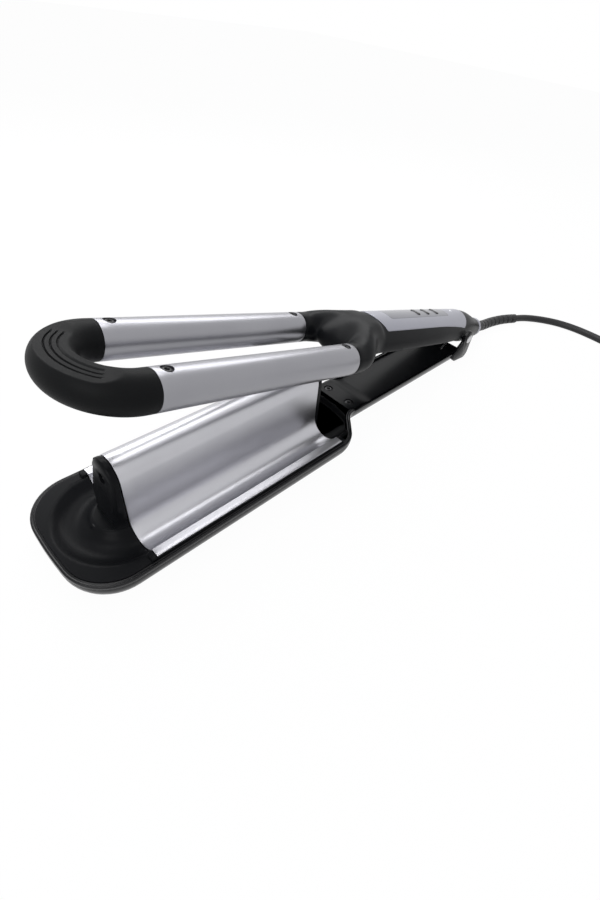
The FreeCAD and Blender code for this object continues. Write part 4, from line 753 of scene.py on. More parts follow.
@dataclass
class ControlPanel:
    """The silver panel, its dark strip, three bar keys and the near-white indicator lens, a painted
    highlight.
    """

    start: float = 175.0
    point: float = 7.0
    end: float = 305.0
    half: float = 13.7
    proud: float = 0.45
    window: tuple[float, float, float] = (186.0, 275.0, 6.6)
    keys: tuple[tuple[str, Body, float], ...] = (
        ("button_power", Body.POWER, 229.0),
        ("button_plus", Body.PLUS, 243.5),
        ("button_minus", Body.MINUS, 258.0),
    )
    key_half_x: float = 1.9
    key_half_y: float = 4.2

    def build(self) -> None:
        """Makes the panel's pieces."""
        self._skin("control_panel", self._panel, self.proud, FINISHES.silver, ("control_bezel",))
        self._skin("display_strip", self._window, self.proud + 0.06, FINISHES.window, ("display_window",))
        for name, body, x in self.keys:
            self._key(name, body, x)
        # The indicator lens gets the near-white finish, a painted highlight on the panel.
        bm = bmesh.new()
        top = handle_height(288.0, 0.0)
        dome = [(0, 1.3), (1.45, 1.3), (1.55, 1.1), (1.6, 0.0)]
        add_turned(bm, (288.0, 0.0, top - 1.0), (0, 0, 1), dome, 32)
        Piece("indicator_painted_highlight", Body.UPPER, FINISHES.lens, True, ("indicator_lens",)).make(bm)

    def _panel(self, inset: float) -> list[Corner]:
        """Returns the panel's outline drawn in by an inset."""
        s, e, h = self.start + inset, self.end - inset, self.half - inset
        return [
            (s - self.point, 0.0, 12.0), (s, -h, max(2.2 - inset, 0.3)), (e, -h, max(7.0 - inset, 0.3)),
            (e, h, max(7.0 - inset, 0.3)), (s, h, max(2.2 - inset, 0.3)),
        ]

    def _window(self, inset: float) -> list[Corner]:
        """Returns the strip's outline drawn in by an inset."""
        s, e, h = self.window[0] + inset, self.window[1] - inset, self.window[2] - inset
        r = max(3.0 - inset, 0.2)
        return [(s, -h, r), (e, -h, r), (e, h, r), (s, h, r)]

    def _skin(
        self,
        name: str,
        corners: Callable[[float], list[Corner]],
        proud: float,
        finish: Finish,
        stands: tuple[str, ...],
    ) -> None:
        """Makes a thin skin over the handle's top inside an outline."""
        bm = bmesh.new()
        rings = []
        for inset, lift in ((0.0, -0.8), (0.0, proud - 0.22), (0.08, proud - 0.07), (0.25, proud)):
            rings.append([(x, y, handle_height(x, y) + lift) for x, y in outline(corners(inset), 10, 30)])
        edge = outline(corners(0.25), 10, 30)
        middle = sum(x for x, _ in edge) / len(edge)
        for share in np.linspace(1.0, 0.0, 14)[1:]:
            narrow = [(middle + (x - middle) * (0.97 + 0.03 * share), y * share) for x, y in edge]
            rings.append([(x, y, handle_height(x, y) + proud) for x, y in narrow])
        add_loft(bm, rings)
        Piece(name, Body.UPPER, finish, True, stands, sharp=55.0).make(bm)

    def _key(self, name: str, body: Body, x: float) -> None:
        """Makes one bar key with a crowned top."""
        top = handle_height(x, 0.0) + 0.85
        bm = bmesh.new()
        rings = []
        for inset, z in (
            (0.0, top - 5.0), (0.0, top - 0.5), (0.12, top - 0.22), (0.4, top - 0.06), (0.9, top),
        ):
            a, b = self.key_half_x - inset, self.key_half_y - inset
            r = a - 0.02
            corners = [(x - a, -b, r), (x + a, -b, r), (x + a, b, r), (x - a, b, r)]
            rings.append([(px, py, z) for px, py in outline(corners, 8, 3)])
        add_loft(bm, rings)
        Piece(f"{name}_key", body, FINISHES.button, True, (name,)).make(bm)


def crest_side(grow: float) -> tuple[float, list[tuple[float, float]]]:
    """Returns the slope's lean and the arc from the crest's top down to the slope.

    Args:
        grow: how far the skin is moved out, in mm.

    Returns:
        The lean in radians, and y and z of the arc's points.
    """
    crest, trough = SIZE.crest_r + grow, SIZE.trough_r - grow
    dy, dz = SIZE.barrel_y, SIZE.barrel_z - SIZE.crest_z
    lean = math.acos((crest + trough) / math.hypot(dy, dz)) + math.atan2(dz, dy)
    arc = []
    for k in range(17):
        angle = math.pi / 2 + (lean - math.pi / 2) * k / 16
        arc.append((crest * math.cos(angle), SIZE.crest_z + crest * math.sin(angle)))
    return lean, arc


class WavePlate:
    """The formed sheet: a tall ridge between two troughs with flat rims."""

    def build(self) -> None:
        """Makes the sheet with rounded front and rear edges."""
        outer = self._profile(0.0)
        inner = self._profile(-SIZE.sheet)
        mid = self._profile(-SIZE.sheet / 2)
        length = SIZE.plate_length
        stations = [(0.0, 0.35), (0.08, 0.08), (0.35, 0.0)]
        stations += [(length * k / 20, 0.0) for k in range(1, 20)]
        stations += [(length - 0.35, 0.0), (length - 0.08, 0.08), (length, 0.35)]
        rings = []
        for x, draw in stations:
            share = draw / SIZE.sheet
            upper = [self._mix(a, m, share * 2) for a, m in zip(outer, mid)]
            lower = [self._mix(a, m, share * 2) for a, m in zip(inner, mid)]
            rings.append([(x, y, z) for y, z in upper + lower[::-1]])
        bm = bmesh.new()
        add_loft(bm, rings)
        Piece("wave_sheet", Body.LOWER, FINISHES.plate, False, ("wave_plate",), sharp=50.0).make(bm)

    @staticmethod
    def _mix(a: tuple[float, float], b: tuple[float, float], share: float) -> tuple[float, float]:
        """Returns a point between two."""
        return a[0] + (b[0] - a[0]) * share, a[1] + (b[1] - a[1]) * share

    @staticmethod
    def _profile(grow: float) -> list[tuple[float, float]]:
        """Returns the skin's section from the near rim to the far rim."""
        trough = SIZE.trough_r - grow
        lean, half = crest_side(grow)
        rim_angle = 2 * math.pi - math.asin((SIZE.barrel_z - grow) / trough)
        start = lean + math.pi
        foot = (SIZE.barrel_y + trough * math.cos(start), SIZE.barrel_z + trough * math.sin(start))
        top = half[-1]
        for k in range(1, 8):
            half.append((top[0] + (foot[0] - top[0]) * k / 8, top[1] + (foot[1] - top[1]) * k / 8))
        for k in range(33):
            angle = start + (rim_angle - start) * k / 32
            half.append((SIZE.barrel_y + trough * math.cos(angle), SIZE.barrel_z + trough * math.sin(angle)))
        half.append((SIZE.rim_y - 2.0, grow))
        half.append((SIZE.rim_y - 0.3, grow))
        half.append((SIZE.rim_y, grow - 0.1 if grow == 0.0 else grow))
        return [(-y, z) for y, z in half[:0:-1]] + half


@dataclass
class Tray:
    """The lower jaw: shell, upper ring, inner moulding, handle cover and screws."""

    front: float = 36.4
    half: float = 38.0
    corner: float = 25.0
    bow: float = 1.6
    bow_radius: float = 200.0
    wall: float = 1.8
    depth: float = 18.5
    bottom_round: float = 14.0
    shoulder_x: float = 138.5
    shoulder_r: float = 20.0
    waist_x: float = 158.0
    waist_r: float = 14.0
    handle_half: float = 18.0
    handle_end: float = 304.1
    lip: float = 2.3
    handle_lip: float = 5.0
    lip_ramp: tuple[float, float] = (150.0, 190.0)
    parting: float = 4.6
    frame_wall: float = 2.6
    frame_end: float = 164.0
    land: float = 2.6
    pocket_end: float = 156.0
    valley_x: float = -0.6
    valley_r: float = 11.4
    screw: Point = (-11.5, 0.0, -1.6)
    island_drop: float = 0.4
    boss_drop: float = 1.0
    boss_fall: float = 9.0
    boss_radii: tuple[float, float] = (1.9, 3.6)
    pocket_bow: float = 0.008
    pocket_depth: float = 6.0
    bridge_angles: tuple[float, float] = (248.0, 292.0)
    bridge_reach: tuple[float, float] = (16.2, 18.4)
    bridge_half: float = 16.6

    def build(self) -> None:
        """Makes the lower jaw's pieces."""
        self._shell()
        self._ring()
        self._liner()
        self._rails()
        self._pocket()
        self._handle_cover()
        self._screws()

    def corners(self, inset: float, end: float) -> list[Corner]:
        """Returns the tray's outline drawn in by an inset, cut off at end."""
        front, half, waist = -self.front + inset, self.half - inset, self.handle_half - inset
        near = [
            (front + self.bow, -half, max(self.corner - inset, 1.0)),
            (self.shoulder_x - inset / 2, -half, max(self.shoulder_r - inset, 1.0)),
            (self.waist_x - inset / 2, -waist, self.waist_r + inset),
            (end, -waist, 0.01),
        ]
        far = [(x, -y, r) for x, y, r in reversed(near)]
        return [(front, 0.0, self.bow_radius)] + near + far

    def lip_height(self, x: float) -> float:
        """Returns the lip's height at x."""
        share = min(max((x - self.lip_ramp[0]) / (self.lip_ramp[1] - self.lip_ramp[0]), 0.0), 1.0)
        return -self.lip - (self.handle_lip - self.lip) * share

    def _shell(self) -> None:
        """Makes the outer shell with its rounded bottom and the hinge ears."""
        end = self.handle_end
        rings = []
        low, radius = -self.depth, self.bottom_round
        levels = [(radius * (1 - math.sin(a)), low + radius * (1 - math.cos(a)))
                  for a in np.linspace(math.radians(4), math.pi / 2, 14)]
        rings.append(self._flat(radius, low, end))
        rings += [self._flat(inset, z, end) for inset, z in levels]
        rings.append(self._top(0.0, -0.45, end))
        rings.append(self._top(0.12, -0.12, end))
        rings.append(self._top(0.4, 0.0, end))
        rings.append(self._top(self.wall - 0.3, 0.0, end))
        rings.append(self._top(self.wall, -0.3, end))
        hollow = radius - self.wall
        inner = [
            (self.wall + hollow * (1 - math.sin(a)), low + self.wall + hollow * (1 - math.cos(a)))
            for a in np.linspace(math.pi / 2, math.radians(4), 8)
        ]
        rings += [self._flat(inset, z, end) for inset, z in inner]
        bm = bmesh.new()
        add_loft(bm, rings)
        Piece("tray_shell", Body.LOWER, FINISHES.gloss_black, False, ("lower_shell",), sharp=40.0).make(bm)
        bm = bmesh.new()
        for side in (1, -1):
            self._ear(bm, side)
        self._bridge(bm)
        Piece("hinge_ears", Body.LOWER, FINISHES.gloss_black, False, sharp=40.0).make(bm)

    def _flat(self, inset: float, z: float, end: float) -> list[Point]:
        """Returns the outline at one height."""
        return [(min(x, end - inset * 0.15), y, z) for x, y in outline(self.corners(inset, end), 14, 16)]

    def _top(self, inset: float, below: float, end: float) -> list[Point]:
        """Returns the outline at the parting line under the ring, and up at the lip behind it."""
        ring = []
        for x, y in outline(self.corners(inset, end), 14, 16):
            under = -self.parting - 0.25
            share = ramp(x, self.frame_end, self.frame_end + 1.0)
            ring.append((x, y, under + (self.lip_height(x) - under) * share + below))
        return ring

    def _ear(self, bm: bmesh.types.BMesh, side: int) -> None:
        """Adds one ear: a rounded plate from the handle's end up to the pin."""
        hull: list[tuple[float, float]] = []
        axle_x = SIZE.hinge_x + SIZE.setback
        eye, foot = (axle_x, SIZE.hinge_z + SIZE.lift), (axle_x + 2.0, -9.5)
        for k in range(19):
            angle = math.radians(195 - 200 * k / 18)
            hull.append((eye[0] + 6.5 * math.cos(angle), eye[1] + 6.5 * math.sin(angle)))
        for k in range(11):
            angle = math.radians(-5 - 90 * k / 10)
            hull.append((foot[0] + 5.0 * math.cos(angle), foot[1] + 5.0 * math.sin(angle)))
        hull += [
            (axle_x - 12.0, -13.0), (axle_x - 16.0, -10.0), (axle_x - 17.0, -5.4), (axle_x - 13.0, -3.4),
        ]
        rings = []
        for inset, y in ((0.5, 16.0), (0.0, 16.4), (0.0, 18.5), (0.2, 18.95), (0.7, 19.2)):
            centre = Vector((axle_x - 3.0, -3.0))
            ring = []
            for x, z in hull:
                point = Vector((x, z))
                point = point - (point - centre).normalized() * inset
                ring.append((point.x, side * y, point.y))
            rings.append(ring)
        add_loft(bm, rings)

    def _bridge(self, bm: bmesh.types.BMesh) -> None:
        """Adds the wall between the ears, curved round the axle so the handle's tail clears it."""
        centre_x, centre_z = SIZE.hinge_x + SIZE.setback, SIZE.hinge_z + SIZE.lift
        near, far = self.bridge_reach
        half = self.bridge_half
        rings = []
        for angle in np.linspace(*(math.radians(a) for a in self.bridge_angles), 9):
            across, down = math.cos(angle), math.sin(angle)
            rings.append([
                (centre_x + reach * across, y, centre_z + reach * down)
                for reach, y in ((near, -half), (far, -half), (far, half), (near, half))
            ])
        add_loft(bm, rings)

    def _ring(self) -> None:
        """Makes the upper ring of the tray with its fine bright lip."""
        end = self.frame_end
        bm = bmesh.new()
        rings = []
        for inset, fall, flat in (
            (2.6, 0.0, True), (0.12, 0.0, True), (0.0, 0.15, True), (0.0, 0.55, False), (0.1, 0.15, False),
            (0.45, 0.0, False), (1.0, 0.0, False), (1.3, 0.18, False), (1.6, 0.18, False), (1.9, 0.0, False),
            (2.35, 0.0, False), (2.6, 0.2, False),
        ):
            ring = []
            for x, y in outline(self.corners(inset, end), 14, 16):
                z = -self.parting + fall if flat else self.lip_height(x) - fall
                ring.append((min(x, end), y, z))
            rings.append(ring)
        rings.append(rings[0])
        add_loft(bm, rings, caps=False)
        bmesh.ops.remove_doubles(bm, verts=bm.verts, dist=1e-4)
        Piece("tray_ring", Body.LOWER, FINISHES.gloss_black, False, ("tray_frame",), sharp=40.0).make(bm)

    def _valley(self, x: float, y: float) -> float:
        """Returns the inner moulding's height in the wide front part."""
        away = math.hypot(min(x - self.valley_x, 0.0), y)
        off = away - SIZE.barrel_y
        if abs(off) < self.valley_r:
            valley = SIZE.barrel_z - math.sqrt(self.valley_r ** 2 - off ** 2)
        else:
            valley = SIZE.barrel_z
        if off > 0:
            return soft_min(valley, -self.land, 1.6)
        screw_x, screw_y, screw_z = self.screw
        island = soft_min(valley, screw_z - self.island_drop, 0.8)
        along = max(screw_x - x, 0.0)
        away = math.hypot(along, y - screw_y)
        boss = screw_z - self.boss_drop - self.boss_fall * ramp(away, *self.boss_radii)
        return max(island, boss)

    def _liner(self) -> None:
        """Makes the front of the inner moulding: land, valley and island."""
        edge = self.frame_wall + 0.6
        border = [(x, y) for x, y in outline(self.corners(edge, 200.0), 14, 16) if x <= 0.0]
        border.sort(key=lambda p: math.atan2(p[1], 0.6 - p[0]))
        kept = [p for p in border if p[0] < -0.4]
        border = [(-0.25, -(self.half - edge))] + kept + [(-0.25, self.half - edge)]
        rows: list[list[Point]] = []
        shares = np.linspace(0.0, 1.0, 64)
        for x, y in border:
            row = []
            for share in shares:
                px = -0.25 + (x + 0.25) * share
                py = y * share
                row.append((px, py, self._valley(px, py)))
            row.append((row[-1][0], row[-1][1], -self.land - 3.0))
            rows.append(row)
        bm = bmesh.new()
        add_loft(bm, rows, caps=False, closed=False)
        bmesh.ops.remove_doubles(bm, verts=bm.verts, dist=1e-4)
        bmesh.ops.solidify(bm, geom=list(bm.faces), thickness=0.8)
        Piece("front_valley", Body.LOWER, FINISHES.satin_black, False, ("lower_liner",), sharp=45.0).make(bm)

    def _rails(self) -> None:
        """Makes the side rails under the plate's rims, with the end blocks."""
        bm = bmesh.new()
        for side in (1, -1):
            rings = []
            for x in (-0.2, 0.0, 129.9, 130.2):
                section = [
                    (31.0, -7.5), (31.0, -1.15), (35.2, -1.15), (35.3, -1.0),
                    (35.6, -0.95), (35.75, -1.1), (35.75, -7.5),
                ]
                rings.append([(x, side * y, z) for y, z in section])
            add_loft(bm, rings)
            for x0, x1 in ((-3.0, -0.15), (130.15, 132.6)):
                rings = []
                for draw, z in ((0.0, -5.0), (0.0, -0.3), (0.15, -0.08), (0.45, 0.0)):
                    y0, y1 = 31.2 + draw, 35.6 - draw
                    corners = [
                        (x0 + draw, y0, 0.4), (x1 - draw, y0, 0.4),
                        (x1 - draw, y1, 0.4), (x0 + draw, y1, 0.4),
                    ]
                    rings.append([(px, side * py, z) for px, py in outline(corners, 4, 2)])
                add_loft(bm, rings)
        Piece("side_rails", Body.LOWER, FINISHES.satin_black, False, sharp=40.0).make(bm)

    def _pocket_height(self, x: float, y: float) -> float:
        """Returns the height of the rear moulding that takes the fork's root."""
        reach = 30.5 - 11.0 * ramp(x, 140.0, 158.0)
        back = self.pocket_end - self.pocket_bow * y * y
        inside = (1 - ramp(x, back - 2.2, back)) * (1 - ramp(abs(y), reach - 1.2, reach + 0.6))
        off = abs(y) - SIZE.barrel_y
        groove = -self.pocket_depth
        if 0.0 < off < 10.0:
            groove = max(SIZE.barrel_z - math.sqrt(SIZE.trough_r ** 2 - off ** 2), groove)
        return -self.land + (groove + self.land) * inside

    def _pocket(self) -> None:
        """Makes the rear of the inner moulding behind the plate."""
        edge = self.frame_wall + 0.6
        corners = self.corners(edge, 260.0)
        sides = [(x, -y) for x, y in outline(corners, 24, 40) if y < 0 and 128.0 <= x <= 160.0]
        sides.sort()
        xs = np.array([p[0] for p in sides])
        ys = np.array([p[1] for p in sides])
        rows = []
        for x in np.linspace(130.4, self.pocket_end + 3.9, 56):
            half = float(np.interp(x, xs, ys))
            row = [(x, -half, -self.land - 3.0)]
            for share in np.linspace(-1, 1, 90):
                row.append((x, half * share, self._pocket_height(x, half * share)))
            row.append((x, half, -self.land - 3.0))
            rows.append(row)
        bm = bmesh.new()
        add_loft(bm, rows, caps=False, closed=False)
        bmesh.ops.solidify(bm, geom=list(bm.faces), thickness=0.8)
        Piece("rear_pocket", Body.LOWER, FINISHES.satin_black, False, sharp=45.0).make(bm)

    def _handle_cover(self) -> None:
        """Makes the cover of the lower handle with its raised front."""
        rows = []
        first, last = self.pocket_end + 4.2, self.handle_end - 2.0
        for x in np.concatenate([np.linspace(first, 190.0, 28), np.linspace(195.0, last, 22)]):
            fall = ramp(x, 172.5, 188.5)
            z = -self.land - 3.6 * fall
            edge = self.wall + 0.3 if x > self.frame_end + 0.3 else self.frame_wall + 0.6
            side = outline(self.corners(edge, 400.0), 24, 60)
            near = [(px, -py) for px, py in side if py < 0 and px > 140]
            near.sort()
            half = float(np.interp(x, [p[0] for p in near], [p[1] for p in near]))
            row = [(x, -half, z - 2.0), (x, -half, z - 0.25)]
            row += [(x, half * s, z - 0.25 * abs(s) ** 8) for s in np.linspace(-0.985, 0.985, 21)]
            row += [(x, half, z - 0.25), (x, half, z - 2.0)]
            rows.append(row)
        bm = bmesh.new()
        add_loft(bm, rows)
        holes = [cylinder((166.5, side * 9.7, -3.9), (0, 0, 1), 4.0, 3.2) for side in (1, -1)]
        Piece(
            "lower_handle_lid", Body.LOWER, FINISHES.satin_black, False, ("lower_handle_cover",), sharp=40.0
        ).make(bm, holes)

    def _screws(self) -> None:
        """Makes the three screws that show in the lower jaw."""
        bm = bmesh.new()
        for side in (1, -1):
            add_screw(bm, (166.5, side * 9.7, -2.85), (0, 0, 1), 2.85)
        add_screw(bm, self.screw, (0, 0, 1), 2.2)
        Piece("tray_screws", Body.LOWER, FINISHES.screw, False, ("lower_screws",)).make(bm)


@dataclass
class RidgeCaps:
    """The fin at the front of the ridge and the bulkhead at its rear."""

    gap: float = 0.3
    foot: float = 4.35
    clear: float = 11.5
    root_front: float = -6.7
    narrowing: float = 0.25
    narrow_between: tuple[float, float] = (6.5, 13.0)

    def build(self) -> None:
        """Makes both caps and the fin's screw."""
        self._front()
        self._rear()

    def _section(self, grow: float, low: float, spread: float = 0.0) -> list[tuple[float, float]]:
        """Returns the ridge's closed section, drawn in or out, down to a foot."""
        lean, right = crest_side(grow)
        top = right[-1]
        foot_y = top[0] + (top[1] - low) * math.tan(lean) + spread
        for k in range(1, 13):
            share = k / 12
            out = (foot_y - top[0]) * share ** (1 + spread * 0.3)
            right.append((top[0] + out, top[1] + (low - top[1]) * share))
        return right + [(-y, z) for y, z in right[::-1] if abs(y) > 1e-6]

    def _front(self) -> None:
        """Makes the fin, which leans back towards the ridge."""
        bm = bmesh.new()
        rings = []
        for grow, forward in (
            (-0.4, 0.0), (-0.05, 0.25), (0.0, 0.7), (-0.25, 0.55), (-0.7, 0.85), (-1.4, 1.0),
        ):
            rings.append([self._lean(y, z, forward) for y, z in self._section(grow, self.foot)])
        add_loft(bm, rings)
        add_loft(bm, [self._root(z) for z in np.linspace(-2.4, 4.6, 9)])
        hole = cylinder((-9.0, 0.0, 25.6), (1, 0, 0), 6.4, 2.7)
        Piece(
            "ridge_fin", Body.LOWER, FINISHES.satin_black, False, ("front_ridge_cap",), sharp=40.0
        ).make(bm, [hole])
        bm = bmesh.new()
        add_screw(bm, (-3.3, 0.0, 25.6), (-1, 0, 0), 2.1)
        Piece("fin_screw", Body.LOWER, FINISHES.screw, False).make(bm)

    def _root(self, z: float) -> list[Point]:
        """Returns one level of the fin's root, hollowed to clear the barrels and the tip."""
        drop = SIZE.barrel_z - z
        half = SIZE.barrel_y - math.sqrt(self.clear ** 2 - drop ** 2)
        ring = []
        for k in range(25):
            angle = math.pi * k / 24
            x = max(-self.gap - half * math.sin(angle), self.root_front)
            ring.append((x, -half * math.cos(angle), z))
        return ring

    def _lean(self, y: float, z: float, forward: float) -> Point:
        """Returns a fin point: forward 0 is at the plate, 1 on the sloping front."""
        reach = 4.0 + 3.0 * min(max((26.2 - z) / 21.9, 0.0), 1.0)
        narrow = 1.0 - self.narrowing * forward ** 2 * (1.0 - ramp(z, *self.narrow_between))
        return -self.gap - (reach - self.gap) * forward, y * narrow, z

    def _rear(self) -> None:
        """Makes the thin bulkhead behind the ridge."""
        bm = bmesh.new()
        rings = []
        for grow, x in ((-0.5, 0.0), (0.0, 0.1), (0.0, 2.2), (-0.15, 2.55), (-0.6, 2.7)):
            start = SIZE.plate_length + self.gap + x
            rings.append([(start, y, z) for y, z in self._section(grow, -5.9)])
        add_loft(bm, rings)
        Piece(
            "ridge_bulkhead", Body.LOWER, FINISHES.satin_black, False, ("rear_ridge_cap",), sharp=40.0
        ).make(bm)


class Hinge:
    """The pin's domed head and cap, and the light ring with the swivel's neck."""

    def build(self) -> None:
        """Makes the pin, its cap, the collar and the swivel barrel."""
        x, z = SIZE.hinge_x + SIZE.setback, SIZE.hinge_z + SIZE.lift
        bm = bmesh.new()
        add_turned(bm, (x, 19.2, z), (0, -1, 0), [
            (0.0, 2.45), (38.4, 2.45), (38.4, 3.5), (38.9, 3.6),
            (39.15, 3.3), (39.35, 2.4), (39.4, 1.2), (39.4, 0.0),
        ], 40)
        Piece("pivot_pin", Body.LOWER, FINISHES.steel, False, ("hinge_pin",)).make(bm)
        bm = bmesh.new()
        cap = [(0.0, 2.5), (0.0, 3.5), (0.7, 3.5), (1.2, 2.9), (1.35, 1.5), (1.35, 0.0)]
        add_turned(bm, (x, 19.25, z), (0, 1, 0), cap, 40)
        Piece("pivot_cap", Body.LOWER, FINISHES.steel, False, ("pin_cap",)).make(bm)
        bm = bmesh.new()
        z = SIZE.hinge_z
        add_turned(bm, (350.0, 0.0, z), (1, 0, 0), [
            (0.05, 5.3), (0.05, 8.0), (0.3, 8.25), (1.0, 8.35), (3.0, 8.3),
            (4.8, 7.95), (5.7, 7.2), (6.0, 6.3), (6.0, 5.3),
            (3.0, 5.3),
        ], 72)
        Piece("end_ring", Body.UPPER, FINISHES.silver, True, ("swivel_collar",)).make(bm)
        bm = bmesh.new()
        add_turned(bm, (340.0, 0.0, z), (1, 0, 0), [
            (0.0, 5.15), (16.0, 5.15), (16.2, 4.8), (17.0, 4.6), (25.0, 4.5), (26.5, 4.7), (28.0, 4.75),
        ], 56)
        Piece("swivel_neck", Body.CORD, FINISHES.rubber, True, ("swivel_barrel",)).make(bm)


@dataclass
class SupplyCord:
    """The cord on one smooth curve, with its relief, coil, tie and plug."""

    neck: Point = (208.028, 0.0, 7.519)
    heading: Point = (0.9683, 0.0, -0.2497)
    diameter: float = 6.5
    relief_route: tuple[Point, ...] = (
        (216.162, 0.0, 5.421), (232.628, -1.0, 4.85), (250.628, -5.3, 4.7), (266.628, -12.3, 4.3),
    )
    cord_route: tuple[Point, ...] = (
        (277.628, -17.1, 4.03), (291.128, -28.0, 3.4), (301.128, -42.0, 3.3), (306.128, -57.0, 3.3),
        (307.628, -73.0, 3.3), (306.828, -92.0, 3.3), (304.828, -111.0, 3.3), (303.128, -133.0, 4.15),
        (303.128, -156.0, 4.15),
    )
    coil_radius: float = 39.0
    coil_turns: float = 6.25
    coil_pitch: float = 7.2
    coil_layer: float = 7.2
    per_turn: int = 24
    rings: int = 9
    relief_length: float = 59.5
    relief_steps: int = 260
    relief_radius: float = 4.8
    relief_taper: float = 0.5
    relief_neck: float = 1.25
    plug_neck: float = 22.0
    plug_length: float = 36.0
    plug_width: float = 27.0
    plug_height: float = 21.0
    coil_centre: Vector = field(default_factory=Vector)

    def build(self) -> None:
        points = [Vector(self.neck)] + [Vector(p) for p in self.relief_route + self.cord_route]
        coil = self._coil(points[-1])
        end, heading = coil[-1], (coil[-1] - coil[-2]).normalized()
        cord = self._curve("supply_cord", points + coil)
        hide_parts("power_cord", "cord_coil")
        relief = self._relief(points)
        tie = self._tie()
        plug = self._plug(end, heading)
        pins = self._pins(end, heading)

    def _coil(self, first: Vector) -> list[Vector]:
        """Returns the coil's points: in along one layer, up, and out along the next."""
        growth = self.coil_pitch / (2 * math.pi)
        total = self.coil_turns * 2 * math.pi
        half = total / 2
        outer = self.coil_radius + growth * half / 2
        lean = math.atan(growth / outer)
        start = first - Vector((0, self.diameter + 0.5, 0))
        centre = start - Vector((outer * math.cos(lean), outer * math.sin(lean), 0))
        self.coil_centre = centre

        def place(angle: float) -> Vector:
            """Returns the coil's point at an angle from its start."""
            away = abs(angle - half)
            if away < math.pi / 2:
                inset = growth * (math.pi / 4 + away ** 2 / math.pi)
            else:
                inset = growth * away
            radius = outer - growth * half + inset
            climb = min(max((angle - half) / math.pi + 0.5, 0.0), 1.0)
            height = self.coil_layer * (climb - math.sin(2 * math.pi * climb) / (2 * math.pi))
            turned = lean - angle
            return centre + Vector((radius * math.cos(turned), radius * math.sin(turned), height))

        count = int(self.coil_turns * self.per_turn)
        points = [place(total * i / count) for i in range(count + 1)]
        tangent = (place(total) - place(total - 0.001)).normalized()
        points.append(points[-1] + tangent * (self.diameter + 0.5))
        return points

    @staticmethod
    def _line_curve(name: str, points: Sequence[Vector], scale: float, smooth: int) -> bpy.types.Curve:
        """Returns a bare NURBS line through the route's control points, scaled."""
        curve = bpy.data.curves.new(name, "CURVE")
        curve.dimensions = "3D"
        curve.resolution_u = smooth
        spline = curve.splines.new("NURBS")
        spline.points.add(len(points) - 1)
        for place, point in zip(spline.points, points):
            place.co = (*(point * scale), 1.0)
        spline.order_u = 3
        spline.use_endpoint_u = True
        return curve

    def _curve(self, name: str, points: Sequence[Vector]) -> bpy.types.Object:
        """Makes the cord: the route's line with a round bevel."""
        curve = self._line_curve(name, points, MM, 8)
        curve.bevel_depth = self.diameter / 2 * MM
        curve.bevel_resolution = 6
        curve.use_fill_caps = True
        obj = bpy.data.objects.new(name, curve)
        bpy.context.scene.collection.objects.link(obj)
        curve.materials.append(MATERIALS.get(FINISHES.rubber))
        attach(obj, Body.CORD.value)
        return obj

    def _route_line(self, points: Sequence[Vector]) -> list[Vector]:
        """Returns points read from the route's NURBS line, in mm."""
        curve = self._line_curve("line", points, 1.0, 24)
        obj = bpy.data.objects.new("line", curve)
        bpy.context.scene.collection.objects.link(obj)
        bpy.context.view_layer.update()
        mesh = bpy.data.meshes.new_from_object(obj)
        line = [v.co.copy() for v in mesh.vertices]
        bpy.data.objects.remove(obj)
        return line

    def _relief(self, points: Sequence[Vector]) -> bpy.types.Object:
        """Makes the segmented relief along the first stretch of the cord's line."""
        line = self._route_line(points)
        lengths = [0.0]
        for a, b in zip(line, line[1:]):
            lengths.append(lengths[-1] + (b - a).length)
        reach = self.relief_length
        bm = bmesh.new()
        rows = []
        for k in range(self.relief_steps + 1):
            distance = reach * k / self.relief_steps
            here = self._on_line(line, lengths, distance)
            ahead = (self._on_line(line, lengths, distance + 0.5) - here).normalized()
            rows.append(self._ring(here, ahead, self._relief_radius(distance / reach)))
        add_loft(bm, rows)
        piece = Piece("relief_sleeve", Body.CORD, FINISHES.rubber, False, ("strain_relief",), sharp=60.0)
        return self._make_row(piece, bm)

    def _relief_radius(self, share: float) -> float:
        """Returns the sleeve's radius: rounded segments with necks between them."""
        top = self.relief_radius - self.relief_taper * share
        phase = (share * self.rings) % 1.0
        dip = ramp(abs(phase - 0.5) * 2, 0.70, 0.92)
        return top - self.relief_neck * dip

    @staticmethod
    def _on_line(line: Sequence[Vector], lengths: Sequence[float], distance: float) -> Vector:
        """Returns the point at a distance along a line of points."""
        i = int(np.clip(np.searchsorted(lengths, distance) - 1, 0, len(line) - 2))
        run = lengths[i + 1] - lengths[i]
        return line[i].lerp(line[i + 1], (distance - lengths[i]) / run)

    @staticmethod
    def _ring(centre: Vector, along: Vector, radius: float, count: int = 40) -> list[Vector]:
        """Returns a ring round a direction, steady about the vertical."""
        side = along.cross(Vector((0, 0, 1))).normalized()
        up = side.cross(along)
        ring = []
        for i in range(count):
            turn = 2 * math.pi * i / count
            ring.append(centre + (side * math.cos(turn) + up * math.sin(turn)) * radius)
        return ring

    @staticmethod
    def _make_row(piece: Piece, bm: bmesh.types.BMesh) -> bpy.types.Object:
        """Makes a piece whose mesh is already in the row frame, in mm."""
        bmesh.ops.translate(bm, verts=bm.verts, vec=Vector((-SIZE.shift_x, 0.0, -SIZE.shift_z)))
        return piece.make(bm)

